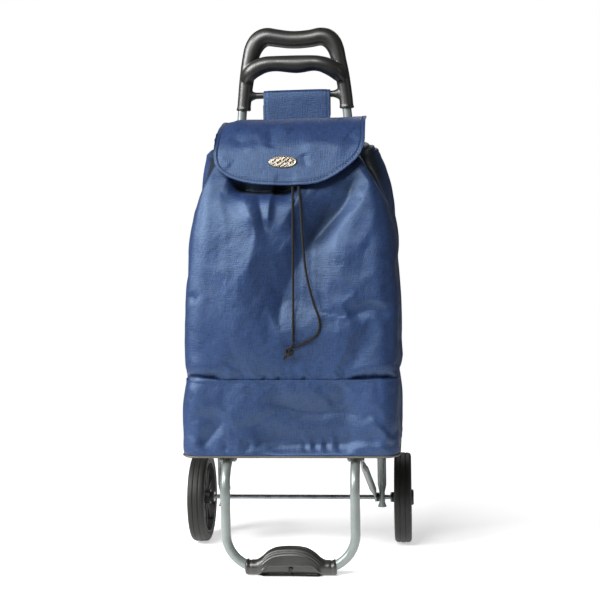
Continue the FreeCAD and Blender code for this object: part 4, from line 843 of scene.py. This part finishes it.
def make_hem():
    """The hem round the mouth: a flattened sleeve of cloth, gathered on its cord."""
    low, high = MOUTH_LOW / MM, MOUTH_HIGH / MM
    ring = around(-low.x - 4.5, high.x - 4.5, low.y + 4.5, high.y - 4.5, 30)
    ring = np.column_stack([ring, 0 * ring[:, 0]])
    along = np.roll(ring, -1, axis=0) - np.roll(ring, 1, axis=0)
    outward = np.cross(along, (0, 0, 1))
    outward /= np.linalg.norm(outward, axis=1, keepdims=True)
    far = lengths_along(ring)
    steps = 28
    angle = full_turn(steps)[:, None]
    middle, tall = (low.z + high.z) / 2, (high.z - low.z) / 2
    gather = np.sin(far / 5.2 + 2.2 * ripple(ring[None] * (1, 1, 0), 40, 5)[0])
    thick = 4.0 + 1.3 * gather * (0.6 + 0.4 * np.cos(angle) ** 2)
    pinch = 1 - 0.28 * bell((np.abs(np.sin(angle)) - 0.62) / 0.12)
    grid = ring[None] + outward[None] * (squarish(np.cos(angle), 0.7) * thick * pinch)[..., None]
    grid[..., 2] = middle + squarish(np.sin(angle), 0.8) * (tall - 0.6 + 0.5 * gather)
    hem = mesh_object("mouth_hem", grid * MM, ring_faces(steps, len(ring)), grid_lengths(grid) * MM)
    return finish_mesh(hem, ("SUBSURF", {"levels": 1, "render_levels": 1}))


place(make_hem(), "frame", "fabric_blue", fabric, "mouth_casing")


# ---------------- flap
FLAP_SHIFT, FLAP_HALF, SEWN_PART = 6.0, 124.0, 52
# the flap's section from its sewn end over the top and down the front: y and height
FLAP_PROFILE = (
    (65.5, 716), (65.5, 728), (65.2, 738), (61.5, 746.5), (52, 749.5), (30, 752.5), (5, 754), (-25, 751.5),
    (-48, 745), (-66, 733.5), (-80, 719), (-91, 702), (-98, 680), (-103.5, 660), (-109, 639))
# where the flap's edge runs, from the left side round to the right: x and height
FLAP_EDGE = (
    (-117, 712), (-118.5, 700), (-118, 685), (-114, 672), (-103, 661), (-86, 652), (-64, 645.5), (-35, 641.5),
    (5, 640), (40, 641), (60, 645), (82, 655), (104, 670), (119, 684), (126, 697), (130, 712))
FLAP_FOLDS = (
    (((-96, 726), (-70, 712), (-44, 724)), -2.5, 12, 12),
    (((-30, 738), (-24, 716), (-28, 700)), -2.6, 10, 9),
    (((-16, 744), (6, 722)), 1.8, 10, 10),
    (((-66, 742), (-56, 714), (-64, 690)), 1.6, 10, 12),
    (((28, 692), (36, 668)), -1.8, 6, 8),
    (((-110, 690), (-90, 672)), 1.4, 10, 12),
    (((20, 704), (64, 708), (104, 690)), 2.2, 14, 20),
    (((100, 722), (118, 706)), -1.6, 10, 10),
    (((-20, 652), (20, 650)), -1.2, 8, 10),
)


PROFILE = curve_through(FLAP_PROFILE, 220)
PROFILE_FAR = lengths_along(PROFILE)


def on_flap(x, far, lift=0.0):
    """The point of the flap at x, that far along it from its sewn end, raised by lift off its upper face."""
    (y, z), (before_y, before_z), (after_y, after_z) = (
        [np.interp(far + step, PROFILE_FAR, PROFILE[:, k]) for k in (0, 1)] for step in (0, -2, 2))
    dy, dz = after_y - before_y, after_z - before_z
    size = np.hypot(dy, dz)
    normal_y, normal_z = dz / size, -dy / size
    rise = lift + sum(stroke(np.stack([x, z], axis=-1), line, depth, left, right) * smooth((far - 70) / 30)
                      for line, depth, left, right in FLAP_FOLDS)
    place_3d = np.stack([x, y, z], axis=-1)
    rise = rise + 1.0 * ripple(place_3d, 48, 11) * smooth((far - 60) / 40)
    # the left shoulder droops, and the right one stands up
    droop = smooth((-x - 84) / 34) * bell((far - 130) / 46)
    place_3d[..., 2] -= 11 * droop
    place_3d[..., 1] += 2 * droop
    place_3d[..., 2] += 1.5 * smooth((x - 80) / 50) * bell((far - 120) / 30)
    return place_3d + rise[..., None] * np.stack([0 * x, normal_y, normal_z], axis=-1)


def height_to_far(z):
    """How far along the flap its front run is at that height."""
    half = len(PROFILE) // 3
    return np.interp(-np.asarray(z, float), -PROFILE[half:, 1], PROFILE_FAR[half:])


EDGE = curve_through([(x, float(height_to_far(z))) for x, z in FLAP_EDGE], 161)
SIDE_RUN = np.linspace(0, 1, 60)[:, None]
EDGE_ALL = np.vstack([np.array([EDGE[0, 0], SEWN_PART]) * (1 - SIDE_RUN) + EDGE[0] * SIDE_RUN, EDGE,
                      EDGE[-1] * (1 - SIDE_RUN) + np.array([EDGE[-1, 0], SEWN_PART]) * SIDE_RUN])


def make_flap():
    """The flap, from its sewn root over the top and down the front, with a turned edge; and its length."""
    rows, columns = 120, len(EDGE)
    v, u = np.meshgrid(np.linspace(0, 1, rows), np.linspace(-1, 1, columns), indexing="ij")
    far = EDGE[None, :, 1] * v
    top_x = FLAP_SHIFT + (FLAP_HALF - 14 * (1 - smooth(far / 95))) * u
    bottom_share = smooth((far - 60) / np.maximum(EDGE[None, :, 1] - 60, 1))
    x = top_x * (1 - bottom_share) + EDGE[None, :, 0] * bottom_share
    away = np.full(x.shape, 1e9)
    for ex, ef in EDGE_ALL:
        away = np.minimum(away, np.hypot(x - ex, far - ef))
    edge_raise = 0.6 * (1 - smooth((away - 5.0) / 1.6)) - 0.8 * bell((away - 6.4) / 1.1)
    edge_raise *= smooth((far - 56) / 10)
    grid = on_flap(x, far, 1.0 + edge_raise)
    flap = mesh_object("flap_cloth", grid * MM, grid_faces(rows, columns)[::-1],
                       np.stack([x, far], axis=2) * MM)
    flap.data.flip_normals()
    longest = np.linalg.norm(np.diff(grid, axis=0), axis=2).sum(axis=0).max()
    return thicken(flap, 2.0), float(longest)


def sewn(name, points, normals, long=3.2, gap=2.0, thick=1.0, sink=0.2):
    """A row of stitches along points in millimetres: short rounded runs of thread lying on the cloth."""
    far = lengths_along(points)
    starts = np.arange(gap, far[-1] - long, long + gap)
    verts, faces = [], []
    share = np.linspace(0, 1, 6)
    swell = np.sqrt(np.clip(1 - (2 * share - 1) ** 4, 0.02, 1))
    around_it = full_turn(6)
    for start in starts:
        want = start + long * share
        line = np.stack([np.interp(want, far, points[:, k]) for k in range(3)], axis=1)
        up = np.array([np.interp(start + long / 2, far, normals[:, k]) for k in range(3)])
        up /= np.linalg.norm(up)
        ahead = line[-1] - line[0]
        ahead /= np.linalg.norm(ahead)
        side = np.cross(ahead, up)
        line = line + up * (sink + 0.35 * (swell[:, None] - 1))
        ring = side * np.cos(around_it)[:, None] + up * np.sin(around_it)[:, None]
        first = len(verts)
        for centre, size in zip(line, swell):
            verts.extend(centre + ring * size * thick / 2)
        faces += tube_faces(len(share), len(around_it), first)
    return mesh_object(name, np.array(verts) * MM, faces)


def flap_stitches(name, inset):
    """Stitches that follow the flap's edge, inset from it."""
    tangent = np.gradient(EDGE_ALL, axis=0)
    tangent /= np.linalg.norm(tangent, axis=1, keepdims=True)
    inward = np.column_stack([-tangent[:, 1], tangent[:, 0]])
    middle = np.array([0, 110.0])
    inward *= np.sign(((middle - EDGE_ALL) * inward).sum(axis=1, keepdims=True))
    line = EDGE_ALL + inward * inset
    line = line[line[:, 1] > 78]
    points = on_flap(line[:, 0], line[:, 1], 0.75)
    raised = on_flap(line[:, 0], line[:, 1], 1.75)
    return sewn(name, points, raised - points)


flap, flap_length = make_flap()
flap.data.materials.append(fabric)
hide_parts("flap", "flap_root")
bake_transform(flap)
place(flap_stitches("flap_stitches", 6.4), "flap", "fabric_blue", thread)


# ---------------- badge
def make_badge():
    """An oval plate with a raised rim and a plain ornament of crossing waves."""
    low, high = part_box("badge")
    centre = (low + high) / 2 / MM
    half_wide, half_tall, thick = 24.0, 10.5, 2.4
    rings, steps = 40, 120
    share, turn = np.meshgrid(np.linspace(0.001, 1, rings), full_turn(steps), indexing="ij")
    across, up = half_wide * share * np.cos(turn), half_tall * share * np.sin(turn)
    dome = thick * (0.55 + 0.28 * np.sqrt(np.clip(1 - share ** 2, 0, 1)))
    rim = 0.35 * bell((share - 0.9) / 0.05)
    waves = np.maximum(np.sin(across * 0.9 + 2.4 * np.sin(up * 0.55)), np.sin(across * 0.55 - up * 0.9 + 1.0))
    field = 0.34 * waves * smooth((0.84 - share) / 0.1)
    edge = smooth((1 - share) / 0.05)
    height = (dome + rim + field) * (0.35 + 0.65 * edge)
    slope = math.atan2(16, 65)
    out = np.array([0, -math.cos(slope), math.sin(slope)])
    along = np.array([0, math.sin(slope), math.cos(slope)])
    grid = (np.array(centre) - out * thick / 2)[None, None] \
        + across[..., None] * np.array([1.0, 0, 0]) + up[..., None] * along + height[..., None] * out
    back = grid[-1] - out * height[-1][:, None]
    points = np.vstack([grid.reshape(-1, 3), back])
    return mesh_object("badge_plate", points * MM, tube_faces(rings + 1, steps))


place(make_badge(), "flap", "badge_metal", champagne, "badge")


# ---------------- sleeve over the handle's rod
def make_sleeve():
    """A strip of cloth folded over the handle's rod, with turned side hems."""
    low, high = (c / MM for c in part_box("hang_sleeve"))
    shift = 5.0
    front, back, top = low.y + 0.9, high.y - 0.9, high.z - 0.9
    half_gap = (back - front) / 2
    middle, bend = (front + back) / 2, top - half_gap
    profile = [(front, low.z + 1), (front, low.z + 30), (front, top - half_gap * 2.2), (front + 0.5, bend)]
    profile += [(middle + half_gap * math.cos(turn), bend + half_gap * math.sin(turn))
                for turn in np.radians((150, 120, 90, 60, 30))]
    profile += [(back - 0.5, top - half_gap * 1.2), (back - 2, top - 20), (back - 5, 764)]
    line = curve_through(profile, 90)
    columns = 64
    half = (high.x - low.x) / 2
    u = np.linspace(-1, 1, columns)
    x = shift + half * u
    grid = np.zeros((len(line), columns, 3))
    grid[..., 0] = x[None]
    grid[..., 1:] = line[:, None]
    normals = -grid_normals(grid)
    inset = half - np.abs(x - shift)
    hem = 0.4 * (1 - smooth((inset - 7) / 1.2)) - 0.3 * bell((inset - 7.6) / 0.7)
    out = hem[None] + 0.8 * ripple(grid, 40, 21)
    grid = grid + normals * out[..., None]
    lengths = grid_lengths(grid)
    sleeve = mesh_object("hanging_sleeve", grid * MM, grid_faces(len(line), columns), lengths * MM)
    return sleeve, grid, normals, lengths[..., 1].max()


sleeve, sleeve_grid, sleeve_normals, sleeve_long = make_sleeve()
sleeve.data.flip_normals()
thicken(sleeve, 1.6)
place(sleeve, "frame", "fabric_blue", fabric, "hang_sleeve")
for index, column in (("left", 4), ("right", 59)):
    place(sewn(f"sleeve_stitches_{index}", sleeve_grid[2:-2, column], sleeve_normals[2:-2, column], sink=0.1),
          "frame", "fabric_blue", thread)


# ---------------- moulded handle
# Centre line of each bar with its half height and half depth: x, y, z, a, b
HANDLE_HOOP = [(x, 75, z, high, deep) for x, z, high, deep in (
    (-90.4, 776, 12.0, 12.3), (-88, 798, 12.1, 12.4), (-85, 822, 12.7, 12.6), (-80.5, 848, 13.6, 13.0),
    (-76, 868, 14.6, 13.4), (-70.5, 884, 16.0, 13.8), (-61, 897, 16.8, 14.0), (-47, 903.5, 16.2, 14.0),
    (-28, 901, 15.6, 13.8), (-8, 898, 15.4, 13.6), (12, 897.4, 15.4, 13.6), (32, 899, 15.4, 13.8),
    (48, 901.6, 15.7, 14.0), (60, 899, 16.2, 14.0), (69, 891, 15.8, 13.8), (75.5, 878, 14.4, 13.4),
    (80, 860, 13.2, 13.0), (85, 838, 12.6, 12.6), (88.5, 816, 12.2, 12.4), (91.5, 792, 12.0, 12.3),
    (92.6, 776, 12.0, 12.3))]
FRONT_GRIP = (
    (-85, 72, 830, 9.5, 9.5), (-80.5, 65, 834, 12, 11.5), (-73, 58, 841, 13.6, 13),
    (-62, 54.5, 848, 14.4, 13.6), (-48, 53, 853, 14.0, 13.6), (-28, 53, 854.4, 13.4, 13.4), (7, 53, 852.4, 15.4, 13.8),
    (34, 53, 853.6, 13.6, 13.4), (49, 53, 852, 13.6, 13.6), (63, 54.5, 847, 14.4, 13.6),
    (74, 58, 840, 14.0, 13.2), (81.5, 65, 832.5, 12.2, 11.7), (85.5, 72, 828, 9.5, 9.5))
HANGING_ROD = [(x, 75, 801.5, high, deep) for x, high, deep in (
    (-90, 13, 9), (-82, 12, 9), (-74.5, 8.6, 7.4), (-69, 6.5, 6.2), (-62, 5.8, 5.8), (0, 5.8, 5.8),
    (64, 5.8, 5.8), (71, 6.5, 6.2), (76.5, 8.6, 7.4), (83, 12, 9), (92, 13, 9))]


def bar(name, stations, count=140, sides=40):
    """A closed bar of changing oval section along a line through the stations."""
    line = curve_through(stations, count)
    ahead = np.gradient(line[:, :3], axis=0)
    ahead /= np.linalg.norm(ahead, axis=1, keepdims=True)
    deep = np.array([0.0, 1.0, 0.0]) - ahead * ahead[:, 1:2]
    deep /= np.linalg.norm(deep, axis=1, keepdims=True)
    high = np.cross(ahead, deep)
    turn = full_turn(sides)[None, :, None]
    points = line[:, None, :3] + high[:, None] * np.cos(turn) * line[:, None, 3:4] \
        + deep[:, None] * np.sin(turn) * line[:, None, 4:5]
    return mesh_object(name, points * MM, tube_faces(count, sides))


def make_handle():
    """One moulding: hoop, forward grip and hanging rod, run together where they meet."""
    parts = [bar("hoop", HANDLE_HOOP, 220), bar("grip", FRONT_GRIP, 160), bar("rod", HANGING_ROD, 160)]
    for x, y, z, wide, deep in (HANDLE_HOOP[0], HANDLE_HOOP[-1]):
        parts.append(bar("lip", [(x, y, z + up, wide + out, deep + out) for up, out in (
            (-0.2, 0.2), (1.2, 1.0), (3.2, 1.0), (4.6, 0.0))], 12))
    handle = joined("handle_moulding", parts)
    return finish_mesh(handle, ("REMESH", {"mode": "VOXEL", "voxel_size": 1.15 * MM}),
                       ("SMOOTH", {"factor": 0.5, "iterations": 9}))


place(make_handle(), "frame", "handle_plastic", handle_plastic, "handle")


# ---------------- foot
# x and height of the tread's top, and of the arch under it
FOOT_TOP = (
    (-75.5, 24), (-73, 25.6), (-64, 25.6), (-57, 26), (-48, 31), (-38, 39.6), (-26, 45.4), (-12, 47.6),
    (0, 48), (12, 47.6), (26, 45), (38, 38.4), (48, 30), (57, 25.8), (64, 25.6), (73, 25.4), (75.5, 24))
FOOT_ARCH = ((-58, 0), (-50, 6), (-42, 13), (-32, 17.6), (0, 19), (32, 17.6), (42, 13), (50, 6), (58, 0))
FOOT_HALF = 75.5


def make_foot():
    """The tread: round collars on the tube, and between them an arch with a pocket under its front edge."""
    low, high = (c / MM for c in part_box("foot_pad"))
    middle_y, stations, sides = (low.y + high.y) / 2, 300, 160
    x = np.linspace(-FOOT_HALF, FOOT_HALF, stations)[:, None]
    top = curve_through(FOOT_TOP, 400)
    top = np.interp(x, top[:, 0], top[:, 1])
    arch = curve_through(FOOT_ARCH, 200)
    arch = np.interp(x, arch[:, 0], arch[:, 1], left=-5, right=-5)
    end = FOOT_HALF - np.abs(x)
    collar = smooth((np.abs(x) - 44) / 13)
    round_end = np.sqrt(np.clip(1 - (1 - np.clip(end / 3.0, 0, 1)) ** 2, 0, 1))
    lip = bell((end - 3.8) / 1.8) * 1.3 - bell((end - 8.5) / 2.4) * 0.8
    half_low = 18.5 - 5.9 * collar + lip
    half_top = 13.5 - 0.9 * collar + lip
    turn = full_turn(sides)[None]
    out, up = squarish(np.cos(turn), 0.5 + 0.45 * collar), squarish(np.sin(turn), 0.62 + 0.34 * collar)
    share = (up + 1) / 2
    bottom = 0.4 + 0.6 * collar
    z = bottom + share * (top + lip - bottom)
    half = half_low + (half_top - half_low) * smooth(share)
    shrink = 1 - 0.24 * (1 - round_end)
    y = half * out * shrink
    z = (z - 13) * shrink + 13
    front = smooth((-out - 0.15) / 0.3)
    under = smooth((arch - z) / 1.4) * smooth((z - 1.6) / 1.6) * front
    y = y + under * np.maximum(half - 9.6, 0)
    for inset in (5.0, 9.6):
        y = y + 1.1 * bell((z - (top - inset)) / 0.8) * front * smooth((50 - np.abs(x)) / 8)
    y = y - 1.0 * bell((z - (arch + 2.4)) / 1.7) * front * smooth((54 - np.abs(x)) / 6)
    points = np.stack([x + 0 * y, middle_y + y, z], axis=2)
    return mesh_object("foot_moulding", points * MM, tube_faces(stations, sides))


place(make_foot(), "frame", "handle_plastic", handle_plastic, "foot_pad")


# ---------------- tyres
# half of the tyre's section: x from its middle, and radius
TYRE_PROFILE = (
    (-9.5, 64.6), (-13, 65.2), (-14, 66.6), (-14.3, 68.5), (-14.9, 70), (-15, 73), (-14.2, 76.4),
    (-12.2, 78.6), (-9.8, 79.4), (-6.4, 79.75), (-5.4, 79.4), (-5, 78.7), (-4.4, 78.7), (-4, 79.4), (-3, 79.9), (0, 80))


def make_tyre(side):
    """A solid rubber tyre with rounded shoulders and two shallow grooves."""
    low, high = (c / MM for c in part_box(f"tyre_{side}"))
    centre = (low + high) / 2
    half = curve_through(TYRE_PROFILE, 46)
    profile = np.vstack([half, half[-2::-1] * (-1, 1)])
    steps = 180
    turn = full_turn(steps)[:, None]
    across, radius = profile[None, :, 0], profile[None, :, 1]
    points = np.stack([centre.x + across + 0 * turn, centre.y + radius * np.cos(turn),
                       centre.z + radius * np.sin(turn)], axis=2)
    tyre = mesh_object(f"tyre_tread_{side}", points * MM, ring_faces(steps, len(profile)))
    return place(tyre, f"wheel_{side}", "tyre", rubber, f"tyre_{side}")


make_tyre("left")
make_tyre("right")


# ---------------- studio
SOFTBOXES = (
    # name, place, width, height, power
    ("left", (-2.7, -1.35, 1.9), 1.7, 1.5, 154),
    ("front", (-0.95, -2.5, 2.5), 1.4, 0.7, 88),
    ("right", (2.6, -1.0, 1.0), 0.8, 1.4, 3),
    ("back", (0.6, 2.6, 2.4), 1.6, 1.0, 14),
)
AMBIENT = 0.1
PAPER_GLOW = 0.5
FLOOR_EDGE = (0.45, 1.25)     # the floor fades into the white room between these radii


def make_studio():
    """A pale floor that runs out into a white room, and soft boxes round the front."""
    floor = mesh_object("studio_floor", [(-3, -3, 0), (3, -3, 0), (3, 3, 0), (-3, 3, 0)], [(0, 1, 2, 3)])
    s = Shader("studio_paper", Roughness=0.7, Specular_IOR_Level=0.25, Emission_Color=(1, 1, 1, 1),
               Emission_Strength=PAPER_GLOW)
    where = s.place_of()
    grain = s.noise(where, 3.0, 4.0)
    far = s.node("VectorMath", {0: where}, operation="LENGTH").outputs["Value"]
    fade = s.spread(far, *FLOOR_EDGE, 1.0, 0.0, interpolation_type="SMOOTHSTEP")
    paper = s.ramp(grain, (0.3, (0.95, 0.95, 0.945)), (0.7, (0.97, 0.97, 0.965)))
    floor.data.materials.append(s.set(Base_Color=paper, Alpha=fade))
    world = bpy.data.worlds.new("studio")
    world.use_nodes = True
    tree = world.node_tree
    background = tree.nodes["Background"]
    background.inputs[0].default_value = (1, 1, 1, 1)
    seen = tree.nodes.new("ShaderNodeLightPath")
    strength = tree.nodes.new("ShaderNodeMapRange")
    tree.links.new(seen.outputs["Is Camera Ray"], strength.inputs[0])
    strength.inputs[3].default_value = AMBIENT
    strength.inputs[4].default_value = 1.0
    tree.links.new(strength.outputs[0], background.inputs[1])
    bpy.context.scene.world = world
    for name, place_at, wide, tall, power in SOFTBOXES:
        light = bpy.data.lights.new(name, "AREA")
        light.shape = "RECTANGLE"
        light.size, light.size_y = wide, tall
        light.energy = power
        holder = new_object(name, light)
        holder.location = place_at
        aim = Vector((0, 0, 0.45)) - Vector(place_at)
        holder.rotation_euler = aim.to_track_quat("-Z", "Y").to_euler()
    bpy.context.scene.view_settings.view_transform = "Standard"


make_studio()
